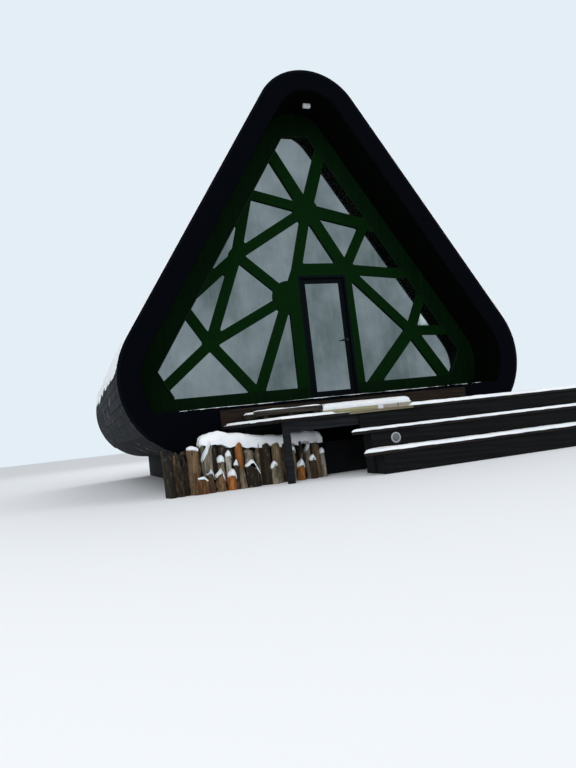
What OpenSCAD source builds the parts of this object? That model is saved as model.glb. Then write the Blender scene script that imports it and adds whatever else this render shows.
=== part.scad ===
// A-frame cabin: a rounded triangular tube with a glazed lattice gable behind a porch recess.
// X runs across the front, Y runs back into the cabin, Z is up, and the ground is Z = 0.
// The front edge of the shell is at Y = 0 and the middle of the gable at X = 0.

/* [Shell] */
// Height of the shell's rounded top above the ground
ridge_h = 6665; // [6000:5:7600]
// Angle between each roof slope and the vertical, in degrees
half_angle = 32.6; // [30:0.2:35]
// Outer radius of the rounded top
ridge_r = 940; // [860:10:1100]
// Outer radius of the rounded lower corners
corner_r = 1190; // [1100:10:1300]
// Height of the shell's flat underside above the ground
underside_h = 500; // [300:10:560]
// Length of the cabin from front edge to back edge
cabin_l = 7500; // [5000:50:9000]
// Thickness of the roof and wall build-up
shell_t = 300; // [240:5:320]
// Thickness of the fascia that closes each end of the shell
fascia_t = 40; // [20:5:60]
// Thickness of the boards that line the porch recess
lining_t = 25; // [15:1:40]

/* [Floor] */
// Height of the finished floor above the ground
floor_h = 1200; // [1150:10:1300]
// Thickness of the floor boards and deck under them
floor_t = 180; // [120:5:220]
// Number of joists between the floor and the base slab
joist_count = 6; // [3:1:9]
// Width of one joist
joist_w = 90; // [60:5:140]

/* [Plinth] */
// Thickness of the plinth walls
plinth_t = 200; // [120:10:260]

/* [Front gable] */
// Depth of the porch recess in front of the lattice
recess_d = 750; // [500:10:1200]
// Width of the flat surround between the lining and the glazing
surround_w = 318; // [300:2:340]
// Depth of the lattice bars and of the surround
lattice_d = 100; // [60:5:140]
// Width of an ordinary lattice bar
bar_w = 172; // [140:2:190]
// Width of the wide bars about the top and the right of the lattice
wide_bar_w = 212; // [192:2:230]
// Radius of the gusset disc at an ordinary joint
gusset_r = 135; // [120:5:150]
// Radius of the gusset disc at the top joint, where seven bars meet
hub_r = 210; // [180:5:220]
// Radius of the gusset disc at the joint beside the doorway
jamb_hub_r = 280; // [240:5:300]
// Height of the sill that carries the glazing, above the floor
sill_h = 236; // [200:2:260]
// Width of the glazing's flat top
glazing_top_w = 490; // [400:10:580]
// Height of the slanted cut at the glazing's lower corners
corner_cut_h = 450; // [350:10:550]
// Sideways reach of the slanted cut
corner_cut_w = 235; // [180:5:290]
// Radius of the fillets in the corners between the bars
fillet_r = 22; // [12:2:40]
// Distance below the main joints where the lattice's lower parts are spliced on
splice_drop = 260; // [220:10:320]
// Thickness of the glass
glass_t = 28; // [12:2:40]
// Height of the lintel over the door
lintel_h = 215; // [190:5:240]

/* [Rear gable] */
// Depth of the recess in front of the rear wall
back_recess_d = 300; // [150:10:700]
// Thickness of the rear wall
back_wall_t = 180; // [120:5:240]

/* [Door] */
// Width of the doorway
doorway_w = 910; // [880:5:940]
// Height of the doorway above the floor
doorway_h = 2180; // [2120:5:2220]
// Distance of the doorway's centre from the middle of the gable
doorway_x = 205; // [195:1:215]
// Width of the fixed door frame's jambs and head
door_frame_w = 45; // [35:1:60]
// Height of the threshold
threshold_h = 30; // [15:1:40]
// Thickness of the door leaf
leaf_t = 60; // [44:1:70]
// Width of the leaf's stiles and top rail
stile_w = 82; // [70:1:110]
// Height of the leaf's bottom rail
bottom_rail_h = 110; // [80:1:200]
// Running gap between the leaf and its frame
leaf_gap = 5; // [5:1:8]
// Thickness of the glass in the door
door_glass_t = 24; // [12:1:30]
// Height of the handle above the floor
handle_h = 1020; // [900:10:1150]
// Length of the lever handle
lever_l = 120; // [90:5:150]
// Radius of a hinge knuckle
knuckle_r = 10; // [8:1:14]
// Height of a hinge
hinge_h = 100; // [70:5:140]

/* [Terrace] */
// Height of the deck above the ground
deck_h = 910; // [860:5:940]
// Depth of the deck in front of the shell
deck_d = 900; // [700:10:1200]
// Thickness of the deck boards and the treads
board_t = 45; // [30:1:60]
// How far the terrace runs past the shell's right side
terrace_run_on = 1220; // [800:20:1800]
// Where the deck's left end meets the shell, measured left from the middle
deck_left = 2050; // [1800:10:2300]
// Sideways reach of the deck's slanted left end
deck_splay = 650; // [300:10:900]
// Where the steps' left end is, measured left from the middle
steps_left = 500; // [300:10:900]
// Depth of one tread from nosing to nosing
tread_d = 300; // [260:5:360]
// Height of the upper step above the ground
upper_step_h = 620; // [560:5:660]
// Height of the lower step above the ground
lower_step_h = 320; // [280:5:360]
// Overhang of each tread in front of its riser
nosing = 25; // [10:1:40]
// Thickness of the riser boards
riser_t = 28; // [18:1:40]
// Width of a deck beam or stair bearer
bearer_w = 60; // [45:1:100]
// Height of the beams under the deck
beam_h = 150; // [100:5:200]
// Side of a deck post
post_w = 100; // [80:5:140]

/* [Door step] */
// Height of the door step above the deck
door_step_rise = 140; // [100:5:180]
// Depth of the door step
door_step_d = 400; // [300:10:600]
// Left end of the door step, measured left from the middle
door_step_left = 1700; // [1400:10:1900]
// Right end of the door step, measured right from the middle
door_step_right = 1000; // [900:10:1400]
// Height of the board behind the door step
riser_board_h = 240; // [180:5:260]

/* [Log pile] */
// Number of upright logs in one row
log_count = 18; // [8:1:24]
// Width of one log
log_w = 132; // [90:2:160]
// Depth of one row of logs
log_d = 190; // [120:5:220]
// Height of the tallest log
log_h = 665; // [500:5:720]
// Left end of the pile, measured left from the middle
pile_left = 3000; // [2600:10:3100]

/* [Lamps] */
// Width of the lamp under the ridge
lamp_w = 130; // [80:5:200]
// Distance of that lamp from the middle
lamp_x = 130; // [0:5:180]
// Radius of the round step light
step_light_r = 90; // [60:5:110]
// Distance of the step light from the middle
step_light_x = 160; // [0:10:1000]

/* [Hidden] */
$fn = 256;

// Clearance between pieces that seat against each other
SEAT = 0.3;
// A length past everything in the model
BIG = 2 * max(ridge_h, cabin_l);

// Where the two outer roof planes would meet above the rounded top
peak_h = ridge_h + ridge_r * (1 / sin(half_angle) - 1);
// Centres of the rounded top and of the rounded lower corners
ridge_c = [0, peak_h - ridge_r / sin(half_angle)];
corner_c = corner_centre(0, underside_h, corner_r);
// Direction square to the right-hand slope
slope_n = [cos(half_angle), sin(half_angle)];
// Distance from the outer skin to the inner face of the lining and to the glazing
lining_inset = shell_t + lining_t;
glazing_inset = lining_inset + surround_w;
shell_half_w = corner_c[0] + corner_r;

// Ends of the roof pieces and depths of the front gable's layers
body_front = fascia_t;
body_l = cabin_l - 2 * fascia_t;
gable_back = recess_d + lattice_d;
glass_y = recess_d + lattice_d / 2 - glass_t / 2;
back_wall_y = cabin_l - back_recess_d - back_wall_t;

// Doorway
door_left = doorway_x - doorway_w / 2;
door_right = doorway_x + doorway_w / 2;
door_head = floor_h + doorway_h;
sill_top = floor_h + sill_h;
leaf_x0 = door_left + door_frame_w + leaf_gap;
leaf_x1 = door_right - door_frame_w - leaf_gap;
leaf_z0 = floor_h + threshold_h + leaf_gap;
leaf_z1 = door_head - door_frame_w - leaf_gap;
leaf_y = gable_back - leaf_t;
hinge_x = leaf_x0 - leaf_gap / 2;
hinge_y = gable_back + knuckle_r;

// Terrace
terrace_right = shell_half_w + terrace_run_on;
deck_front = -deck_d;
upper_front = deck_front - tread_d;
lower_front = upper_front - tread_d;

// Outline of the glazing on the right: the end of its flat top, and both ends of the slanted lower cut
glazing_peak = peak_h - glazing_inset / sin(half_angle);
glazing_top = [glazing_top_w / 2, glazing_peak - glazing_top_w / 2 / tan(half_angle)];
cut_top = [(glazing_peak - sill_top - corner_cut_h) * tan(half_angle), sill_top + corner_cut_h];
cut_foot = [cut_top[0] - corner_cut_w, sill_top];

// Joints of the lattice, as [x, z] on the gable. Those away from the doorway are placed in thousandths
// of the height from the floor to the peak.
gable_unit = (peak_h - floor_h) / 1000;
bar_root = bar_w / 3;
lintel_z = door_head + lintel_h / 2;
hub_main = joint(10.5, 538.3);
hub_left = joint(-207.8, 408.3);
hub_low_left = joint(-304, 173.1);
hub_low_right = joint(296.3, 177.8);
hub_jamb = [door_left - 1.22 * bar_w, door_head - 1.68 * lintel_h];
hub_lintel = [door_right + bar_w / 8, lintel_z];
lintel_left = [door_left, lintel_z];
jamb_foot_right = [door_right + bar_root, sill_top - bar_root];
sill_left = [joint(-187.5, 0)[0], sill_top - bar_root];
sill_door = [door_right + 1.7 * bar_w, sill_top - bar_root];
sill_right = [cut_foot[0] - bar_w / 2, sill_top - bar_root];
edge_top_left = on_edge(-1, 710);
edge_top_right = on_edge(1, 719);
edge_upper_left = on_edge(-1, 583);
edge_post_left = on_edge(-1, 601.5);
edge_upper_right = on_edge(1, 487);
edge_post_right = on_edge(1, 523);
edge_mid_left = on_edge(-1, 293.5);
edge_low_left = on_edge(-1, 271);
edge_mid_right = on_edge(1, 291.5);
edge_low_right = on_edge(1, 172);
edge_lintel = on_edge(1, 345.5);
edge_corner_left = mirrored(cut_top + cut_foot) / 2 - [bar_w, bar_w] / 2;

// Bars as [end, end, width]
LATTICE_BARS = [
    [hub_main, edge_top_left, wide_bar_w], [hub_main, edge_top_right, wide_bar_w],
    [hub_main, edge_upper_left, bar_w], [hub_main, edge_upper_right, wide_bar_w],
    [hub_main, hub_left, bar_w], [hub_main, lintel_left, bar_w], [hub_main, hub_lintel, wide_bar_w],
    [hub_left, edge_post_left, bar_w], [hub_left, edge_mid_left, bar_w], [hub_left, hub_jamb, bar_w],
    [hub_left, hub_low_left, bar_w], [lintel_left, hub_jamb, bar_w], [hub_jamb, hub_low_left, bar_w],
    [hub_jamb, sill_left, bar_w], [hub_low_left, edge_low_left, bar_w],
    [hub_low_left, edge_corner_left, bar_w], [hub_low_left, sill_left, bar_w],
    [hub_lintel, edge_post_right, bar_w], [hub_lintel, edge_lintel, bar_w],
    [hub_lintel, hub_low_right, bar_w], [hub_lintel, jamb_foot_right, bar_w],
    [hub_low_right, edge_mid_right, bar_w], [hub_low_right, edge_low_right, bar_w],
    [hub_low_right, sill_right, wide_bar_w], [hub_low_right, sill_door, wide_bar_w]
];
SMALL_HUBS = [hub_left, hub_low_left, hub_lintel, hub_low_right];

// Point on the gable, x and z in thousandths of the height from the floor to the peak
function joint(x, z) = [x * gable_unit, floor_h + z * gable_unit];

// Point behind the surround, on the left (-1) or right (1) slope at z thousandths of that height
function on_edge(side, z) =
    let (h = floor_h + z * gable_unit)
    [side * (peak_h - (glazing_inset - surround_w / 3) / sin(half_angle) - h) * tan(half_angle), h];

// Centre of a lower corner's arc, for a profile set in from the skin by t with its base at base_z
function corner_centre(t, base_z, r) =
    [(peak_h - t / sin(half_angle) - base_z - r) * tan(half_angle) - r / cos(half_angle), base_z + r];

function mirrored(p) = [-p[0], p[1]];

// Waste outside the arc that rounds a corner. It starts a little before the tangent points t0 and t1,
// and the arc lies a hair inside them, so that arc and straight never share a line.
module corner_waste(corner, t0, centre, t1, r) {
    lead = 0.035 * r;
    hair = 0.05;
    past = 1.1;
    start = t0 + lead * (t0 - corner) / norm(t0 - corner);
    end = t1 + lead * (t1 - corner) / norm(t1 - corner);
    difference() {
        polygon([centre, centre + past * (start - centre), centre + past * (corner - centre),
                 centre + past * (end - centre)]);
        translate(centre) circle(r = r - hair);
    }
}

// Triangle with rounded corners, set in from the outer skin by t
module rounded_triangle(t, base_z, r) {
    c = corner_centre(t, base_z, r);
    top_r = ridge_r - t;
    top = [0, peak_h - t / sin(half_angle)];
    foot = [(top[1] - base_z) * tan(half_angle), base_z];
    top_tangent = ridge_c + top_r * slope_n;
    difference() {
        polygon([top, foot, mirrored(foot)]);
        corner_waste(top, top_tangent, ridge_c, mirrored(top_tangent), top_r);
        for (side = [-1, 1]) on_side(side) corner_waste(foot, c + r * slope_n, c, [c[0], base_z], r);
    }
}

// Outline of the space inside the shell, down to the floor
module room_outline(t) {
    difference() {
        rounded_triangle(t, underside_h + t, corner_r - t);
        translate([-BIG, floor_h - BIG]) square([2 * BIG, BIG]);
    }
}

// Outline of the glazed part of the gable: a triangle with its corners cut off
module glazing_outline() {
    half = [cut_foot, cut_top, glazing_top];
    polygon(concat(half, [for (i = [2 : -1 : 0]) mirrored(half[i])]));
}

// Stands an outline drawn in X and Z upright, from y0 back by depth
module upright(y0, depth) {
    translate([0, y0 + depth, 0]) rotate([90, 0, 0]) linear_extrude(depth) children();
}

// Pie slice that spans the angles a0 to a1 about the centre c
module pie(c, r, a0, a1) {
    mid = (a0 + a1) / 2;
    translate(c) polygon([[0, 0], r * [cos(a0), sin(a0)], r * [cos(mid), sin(mid)],
                          r * [cos(a1), sin(a1)]]);
}

// Curved strip between the insets t0 and t1 round the shell's top
module ridge_strip(t0, t1) {
    intersection() {
        translate(ridge_c) difference() {
            circle(r = ridge_r - t0);
            circle(r = ridge_r - t1);
        }
        pie(ridge_c, 2.5 * ridge_r, half_angle, 180 - half_angle);
    }
}

// Curved strip between the insets t0 and t1 round the right lower corner
module corner_strip(t0, t1) {
    intersection() {
        translate(corner_c) difference() {
            circle(r = corner_r - t0);
            circle(r = corner_r - t1);
        }
        pie(corner_c, 2.5 * corner_r, -90, half_angle);
    }
}

// Straight strip between the insets t0 and t1 along the right slope
module slope_strip(t0, t1) {
    polygon([ridge_c + (ridge_r - t0) * slope_n, ridge_c + (ridge_r - t1) * slope_n,
             corner_c + (corner_r - t1) * slope_n, corner_c + (corner_r - t0) * slope_n]);
}

// Draws a piece as it is on the right, or mirrored to the left
module on_side(side) {
    mirror([side < 0 ? 1 : 0, 0, 0]) children();
}

module box(x0, x1, y0, y1, z0, z1) {
    translate([x0, y0, z0]) cube([x1 - x0, y1 - y0, z1 - z0]);
}

// Plinth wall across one end, in the middle under the edge of the shell
module plinth_end(y) {
    color("#1a1a1c") box(-corner_c[0], corner_c[0], y - plinth_t / 2, y + plinth_t / 2, 0, underside_h);
}

module plinth_sides() {
    color("#1a1a1c") for (side = [-1, 1]) on_side(side)
        box(corner_c[0] - plinth_t, corner_c[0], plinth_t / 2, cabin_l - plinth_t / 2, 0, underside_h);
}

module base_slab() {
    color("#202226") box(-corner_c[0], corner_c[0], body_front, body_front + body_l,
                         underside_h, underside_h + shell_t);
}

module corner(side) {
    color("#14171d") on_side(side) upright(body_front, body_l) corner_strip(0, shell_t);
}

module roof(side) {
    color("#14171d") on_side(side) upright(body_front, body_l) slope_strip(0, shell_t);
}

module ridge_curve() {
    color("#14171d") upright(body_front, body_l) ridge_strip(0, shell_t);
}

// Floor between the curved corners, cut by them at its long edges
module floor_slab() {
    color("#4a3a2a") upright(body_front, body_l) intersection() {
        union() {
            for (side = [-1, 1])
                translate([side * corner_c[0], corner_c[1]]) circle(r = corner_r - shell_t);
            translate([-corner_c[0], floor_h - floor_t]) square([2 * corner_c[0], floor_t]);
        }
        translate([-BIG, floor_h - floor_t]) square([2 * BIG, floor_t]);
    }
}

module floor_joists() {
    pitch = (2 * corner_c[0] - joist_w) / (joist_count - 1);
    color("#6b5a44") for (i = [0 : joist_count - 1])
        box(-corner_c[0] + i * pitch, -corner_c[0] + i * pitch + joist_w, body_front, body_front + body_l,
            underside_h + shell_t, floor_h - floor_t);
}

// Places the same flat piece at the front and at the back end of the shell
module both_ends() {
    upright(0, fascia_t) children();
    upright(cabin_l - fascia_t, fascia_t) children();
}

module fascia_slope(side) {
    color("#05080f") on_side(side) both_ends() slope_strip(0, lining_inset);
}

module fascia_ridge() {
    color("#05080f") both_ends() ridge_strip(0, lining_inset);
}

module fascia_corner(side) {
    color("#05080f") on_side(side) both_ends() difference() {
        intersection() {
            translate(corner_c) circle(r = corner_r);
            pie(corner_c, 2.5 * corner_r, -90, half_angle);
        }
        room_outline(lining_inset);
    }
}

module fascia_base() {
    color("#05080f") both_ends()
        translate([-corner_c[0], underside_h]) square([2 * corner_c[0], floor_h - underside_h]);
}

module lining_side(side) {
    color("#0a140a") on_side(side) upright(body_front, recess_d - body_front) difference() {
        room_outline(shell_t + SEAT);
        room_outline(lining_inset);
        pie(ridge_c, 2.5 * ridge_r, half_angle, 180 - half_angle);
        translate([-BIG, 0]) square([BIG, BIG]);
    }
}

module lining_ridge() {
    color("#0a140a") upright(body_front, recess_d - body_front) ridge_strip(shell_t + SEAT, lining_inset);
}

// Flat band between the shell and the glazing, with the sill under the glazing and the doorway cut out
module surround_outline() {
    difference() {
        room_outline(shell_t + SEAT);
        glazing_outline();
        doorway_outline();
    }
}

module doorway_outline() translate([door_left, floor_h - 1]) square([doorway_w, doorway_h + 1]);

// The gable's three parts, parted along the bars that meet at the top of the doorway,
// or, for the splices of the lattice, lowered from there by drop, and by half of it at the edges
module gable_part(part, drop = 0) {
    below = floor_h - 1;
    low = [0, drop];
    left = edge_mid_left - low / 2;
    right = edge_lintel - low / 2;
    if (part == "left")
        polygon([[-BIG, below], [-BIG, left[1]], left, hub_left - low, hub_jamb - low, lintel_left - low,
                 [door_left + 1, below]]);
    if (part == "right")
        polygon([[BIG, below], [BIG, right[1]], right, hub_lintel - low,
                 [door_right - 1, door_head - drop], [door_right - 1, below]]);
    if (part == "top") difference() {
        translate([-BIG, below]) square([2 * BIG, BIG]);
        gable_part("left", drop);
        gable_part("right", drop);
    }
}

module surround(part) {
    color("#0b1d0b") upright(recess_d, lattice_d) intersection() {
        surround_outline();
        gable_part(part);
    }
}

// Straight flat bar of width w between two joints
module bar(a, b, w) {
    d = b - a;
    translate(a) rotate(atan2(d[1], d[0])) translate([0, -w / 2]) square([norm(d), w]);
}

// Bars and gussets of the whole lattice, with the plates beside and over the doorway
module bar_outline() {
    for (b = LATTICE_BARS) bar(b[0], b[1], b[2]);
    translate(hub_main) circle(r = hub_r);
    translate(hub_jamb) circle(r = jamb_hub_r);
    for (p = SMALL_HUBS) translate(p) circle(r = gusset_r);
    translate([door_left, door_head]) square([hub_lintel[0] - door_left, lintel_h]);
    polygon([hub_jamb, lintel_left, [door_left + 1, lintel_z], [door_left + 1, sill_top - bar_root],
             [hub_jamb[0], sill_top - bar_root]]);
}

// Openings between the bars, with filleted corners, set in by t and run a little past the surround
module pane_outline(t) {
    past = fillet_r / 3;
    offset(r = fillet_r - t, $fn = 24) offset(delta = -fillet_r) difference() {
        offset(delta = past) glazing_outline();
        bar_outline($fn = 32);
        doorway_outline();
    }
}

// Outline that just fits inside the surround
module glazing_fit() offset(delta = -SEAT) glazing_outline();

module lattice_outline() {
    difference() {
        glazing_fit();
        pane_outline(0);
        doorway_outline();
    }
}

module lattice(part) {
    color("#0c3a0c") upright(recess_d, lattice_d) intersection() {
        lattice_outline();
        gable_part(part, splice_drop);
    }
}

module glass(part) {
    color("#8f9b9c") upright(glass_y, glass_t) intersection() {
        glazing_fit();
        pane_outline(SEAT);
        gable_part(part);
    }
}

module back_wall() {
    color("#0b1d0b") upright(back_wall_y, back_wall_t) room_outline(shell_t + SEAT);
}

module door_frame() {
    color("#070d14") upright(recess_d, lattice_d) difference() {
        translate([door_left, floor_h]) square([doorway_w, doorway_h]);
        translate([door_left + door_frame_w, floor_h + threshold_h])
            square([doorway_w - 2 * door_frame_w, doorway_h - door_frame_w - threshold_h]);
    }
}

module door_hinges() {
    from_end = 200;
    plate_w = door_frame_w - 10;
    plate_t = 3;
    color("#30343a")
        for (z = [leaf_z0 + from_end, (leaf_z0 + leaf_z1) / 2, leaf_z1 - from_end - hinge_h]) {
            translate([hinge_x, hinge_y, z]) cylinder(r = knuckle_r, h = hinge_h);
            box(hinge_x - plate_w, hinge_x, gable_back, gable_back + plate_t, z, z + hinge_h);
        }
}

module door_leaf() {
    color("#070d14") upright(leaf_y, leaf_t) difference() {
        translate([leaf_x0, leaf_z0]) square([leaf_x1 - leaf_x0, leaf_z1 - leaf_z0]);
        door_light();
    }
}

// Glazed part of the door leaf
module door_light() {
    translate([leaf_x0 + stile_w, leaf_z0 + bottom_rail_h])
        square([leaf_x1 - leaf_x0 - 2 * stile_w, leaf_z1 - leaf_z0 - bottom_rail_h - stile_w]);
}

module door_glass() {
    color("#8f9b9c") upright(leaf_y + (leaf_t - door_glass_t) / 2, door_glass_t) door_light();
}

// Lever handles on both faces of the leaf, with their roses
module door_handle() {
    rose_r = 26;
    rose_t = 8;
    neck_r = 9;
    neck_l = 45;
    x = leaf_x1 - stile_w / 2;
    color("#8a8d90") for (face = [0, 1]) {
        translate([x, face == 0 ? leaf_y : gable_back, floor_h + handle_h])
            rotate([face == 0 ? 90 : -90, 0, 0]) {
                cylinder(r = rose_r, h = rose_t);
                cylinder(r = neck_r, h = neck_l);
                translate([0, 0, neck_l]) rotate([0, -90, 0]) cylinder(r = neck_r, h = lever_l);
                translate([0, 0, neck_l]) sphere(r = neck_r, $fn = 32);
            }
    }
}

// Plan of a terrace layer whose left end slants inwards by splay over its depth
module terrace_plan(x0, splay, y_front, y_back) {
    polygon([[x0, y_front], [terrace_right, y_front], [terrace_right, y_back], [x0 + splay, y_back]]);
}

module deck() {
    color("#3a332e") translate([0, 0, deck_h - board_t]) linear_extrude(board_t)
        terrace_plan(-deck_left + deck_splay, -deck_splay, deck_front, -SEAT);
}

// Front beam of the deck on its posts, and the ledger along the shell with posts where it runs past
module deck_frame() {
    beam_top = deck_h - board_t;
    beam_right = terrace_right - nosing;
    front_y = deck_front + nosing + riser_t;
    front_left = -deck_left + deck_splay + nosing;
    bays = 4;
    post_pitch = (beam_right - post_w - front_left) / bays;
    color("#3a332e") {
        box(front_left, beam_right, front_y, front_y + bearer_w, beam_top - beam_h, beam_top);
        for (i = [0 : bays]) deck_post(front_left + i * post_pitch, front_y);
        box(-deck_left + post_w, beam_right, -bearer_w - SEAT, -SEAT, beam_top - beam_h, beam_top);
        for (x = [shell_half_w - post_w, beam_right - post_w]) deck_post(x, -bearer_w - SEAT);
    }
}

module deck_post(x, y) box(x, x + post_w, y, y + bearer_w, 0, deck_h - board_t - beam_h);

module tread(h, y_front) {
    color("#3a332e") translate([0, 0, h - board_t]) linear_extrude(board_t)
        terrace_plan(-steps_left, tread_d - SEAT - nosing, y_front, y_front + tread_d + nosing - SEAT);
}

module step_risers() {
    color("#241f1c") {
        riser_at(deck_front, upper_step_h, deck_h - board_t);
        riser_at(upper_front, lower_step_h, upper_step_h - board_t);
        riser_at(lower_front, 0, lower_step_h - board_t);
    }
}

module riser_at(y_front, z0, z1) {
    box(-steps_left + tread_d, terrace_right, y_front + nosing, y_front + nosing + riser_t, z0, z1);
}

// Blocks that carry the two treads behind their risers
module stair_bearers() {
    bays = 5;
    x0 = -steps_left + tread_d + nosing;
    pitch = (terrace_right - bearer_w - x0) / bays;
    color("#3a332e") for (i = [0 : bays]) {
        x = x0 + i * pitch;
        box(x, x + bearer_w, lower_front + nosing + riser_t, upper_front + nosing,
            0, lower_step_h - board_t);
        box(x, x + bearer_w, upper_front + nosing + riser_t, deck_front + nosing,
            0, upper_step_h - board_t);
    }
}

module door_step() {
    color("#b8a98c") box(-door_step_left, door_step_right, -door_step_d, -riser_t - SEAT,
                         deck_h, deck_h + door_step_rise);
}

module riser_board() {
    color("#6e5138") box(-deck_left, shell_half_w - corner_r, -riser_t, 0, deck_h, deck_h + riser_board_h);
}

// One upright split log: a wedge of a trunk with its bark to the front
module split_log(w, d, h, bark) {
    trunk_r = 0.62 * d;
    color(bark) linear_extrude(h) intersection() {
        translate([w / 2, trunk_r]) circle(r = trunk_r);
        square([w, d]);
    }
}

// Row of logs side by side, with heights that vary along the row
module log_row(y0, phase) {
    uneven = 0.1;
    for (i = [0 : log_count - 1]) {
        h = log_h * (1 - uneven + uneven * sin(i * 137 + phase));
        translate([-pile_left + i * (log_w + SEAT), y0, 0])
            split_log(log_w, log_d, h, i % 3 == 0 ? "#8a5a34" : "#6b4a32");
    }
}

// Lamp under the curved top of the recess, and the round light on the riser of the upper step
module lamps() {
    lamp_h = 70;
    lamp_d = 60;
    lamp_top = ridge_c[1] + sqrt(pow(ridge_r - lining_inset, 2) - pow(lamp_x + lamp_w / 2, 2)) - SEAT;
    lamp_y = (recess_d - lamp_d) / 2;
    step_light_t = 12;
    step_light_drop = 15;
    color("#f4f4f0") {
        translate([lamp_x, 0, 0])
            box(-lamp_w / 2, lamp_w / 2, lamp_y, lamp_y + lamp_d, lamp_top - lamp_h, lamp_top);
        translate([step_light_x, upper_front + nosing - SEAT,
                   upper_step_h - board_t - step_light_r - step_light_drop])
            rotate([90, 0, 0]) cylinder(r = step_light_r, h = step_light_t);
    }
}

plinth_end(0);  // plinth_front
plinth_end(cabin_l);  // plinth_back
plinth_sides();
base_slab();
corner(-1);  // corner_left
corner(1);  // corner_right
roof(-1);  // roof_left
roof(1);  // roof_right
ridge_curve();
floor_joists();
floor_slab();  // floor
fascia_slope(-1);  // fascia_left
fascia_slope(1);  // fascia_right
fascia_ridge();
fascia_corner(-1);  // fascia_corner_left
fascia_corner(1);  // fascia_corner_right
fascia_base();
lining_side(-1);  // lining_left
lining_side(1);  // lining_right
lining_ridge();
surround("left");  // surround_left
surround("right");  // surround_right
surround("top");  // surround_top
lattice("left");  // lattice_left
lattice("right");  // lattice_right
lattice("top");  // lattice_top
glass("left");  // glass_left
glass("right");  // glass_right
glass("top");  // glass_top
back_wall();
door_frame();
door_hinges();
door_leaf();
door_glass();
door_handle();
deck();
deck_frame();
tread(upper_step_h, upper_front);  // upper_tread
tread(lower_step_h, lower_front);  // lower_tread
step_risers();
stair_bearers();
door_step();
riser_board();
log_row(-plinth_t / 2 - 2 * (log_d + SEAT), 0);  // log_row_front
log_row(-plinth_t / 2 - log_d - SEAT, 50);  // log_row_back
lamps();
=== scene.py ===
"""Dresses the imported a-frame cabin.

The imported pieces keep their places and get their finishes. New pieces are laid over them: the shingles,
the lining boards, the deck boards, the split logs, the lamps and the snow that lies on them all.
All sizes are in metres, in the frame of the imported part: X across the front, Y into the cabin, Z up.
"""
from __future__ import annotations

import logging
import math
import random
from dataclasses import dataclass, field
from enum import Enum
from typing import Any, Callable, Iterable, Sequence

import bmesh
import bpy
from mathutils import Matrix, Vector, noise


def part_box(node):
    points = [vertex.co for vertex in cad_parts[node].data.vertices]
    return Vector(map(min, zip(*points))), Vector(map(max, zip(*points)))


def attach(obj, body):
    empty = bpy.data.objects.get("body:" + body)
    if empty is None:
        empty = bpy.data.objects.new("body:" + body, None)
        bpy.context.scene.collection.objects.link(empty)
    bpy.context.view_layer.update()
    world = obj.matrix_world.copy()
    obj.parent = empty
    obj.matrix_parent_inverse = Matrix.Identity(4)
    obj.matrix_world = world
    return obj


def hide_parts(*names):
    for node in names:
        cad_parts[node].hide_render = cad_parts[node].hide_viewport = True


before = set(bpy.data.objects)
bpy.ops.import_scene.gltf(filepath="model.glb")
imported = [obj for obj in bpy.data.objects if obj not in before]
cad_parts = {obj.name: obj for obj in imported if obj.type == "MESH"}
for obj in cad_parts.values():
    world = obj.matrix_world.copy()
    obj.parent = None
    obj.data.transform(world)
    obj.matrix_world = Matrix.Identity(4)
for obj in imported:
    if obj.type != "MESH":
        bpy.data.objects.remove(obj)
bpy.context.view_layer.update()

LOG = logging.getLogger("cabin")
CABIN = "cabin"
Colour = tuple[float, float, float, float]
Corners = tuple[tuple[float, float], tuple[float, float], tuple[float, float], tuple[float, float]]
BMesh = bmesh.types.BMesh
BMVert = bmesh.types.BMVert
BMEdge = bmesh.types.BMEdge
BMFace = bmesh.types.BMFace
# How far a face stands off the one that it lies on.
CLEAR = 0.0005
# Places nearer to each other than this count as one.
NEAR = 0.001
# Leads from one part of the noise to another that has nothing to do with it.
APART = Vector((9.0, 9.0, 9.0))


def rgb(red: int, green: int, blue: int) -> Colour:
    """Turns a colour in 0 to 255 steps, as a screen shows it, into a linear one by the sRGB curve."""
    linear = [c / 12.92 if c <= 0.04045 else ((c + 0.055) / 1.055) ** 2.4
              for c in (red / 255, green / 255, blue / 255)]
    return (linear[0], linear[1], linear[2], 1.0)


class Axis(Enum):
    """Direction that grain, boards or brush marks run in, as the stretch of a pattern on X, Y and Z."""

    X = (0.06, 1.0, 1.0)
    Y = (1.0, 0.06, 1.0)
    Z = (1.0, 1.0, 0.06)
    NONE = (1.0, 1.0, 1.0)


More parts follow.
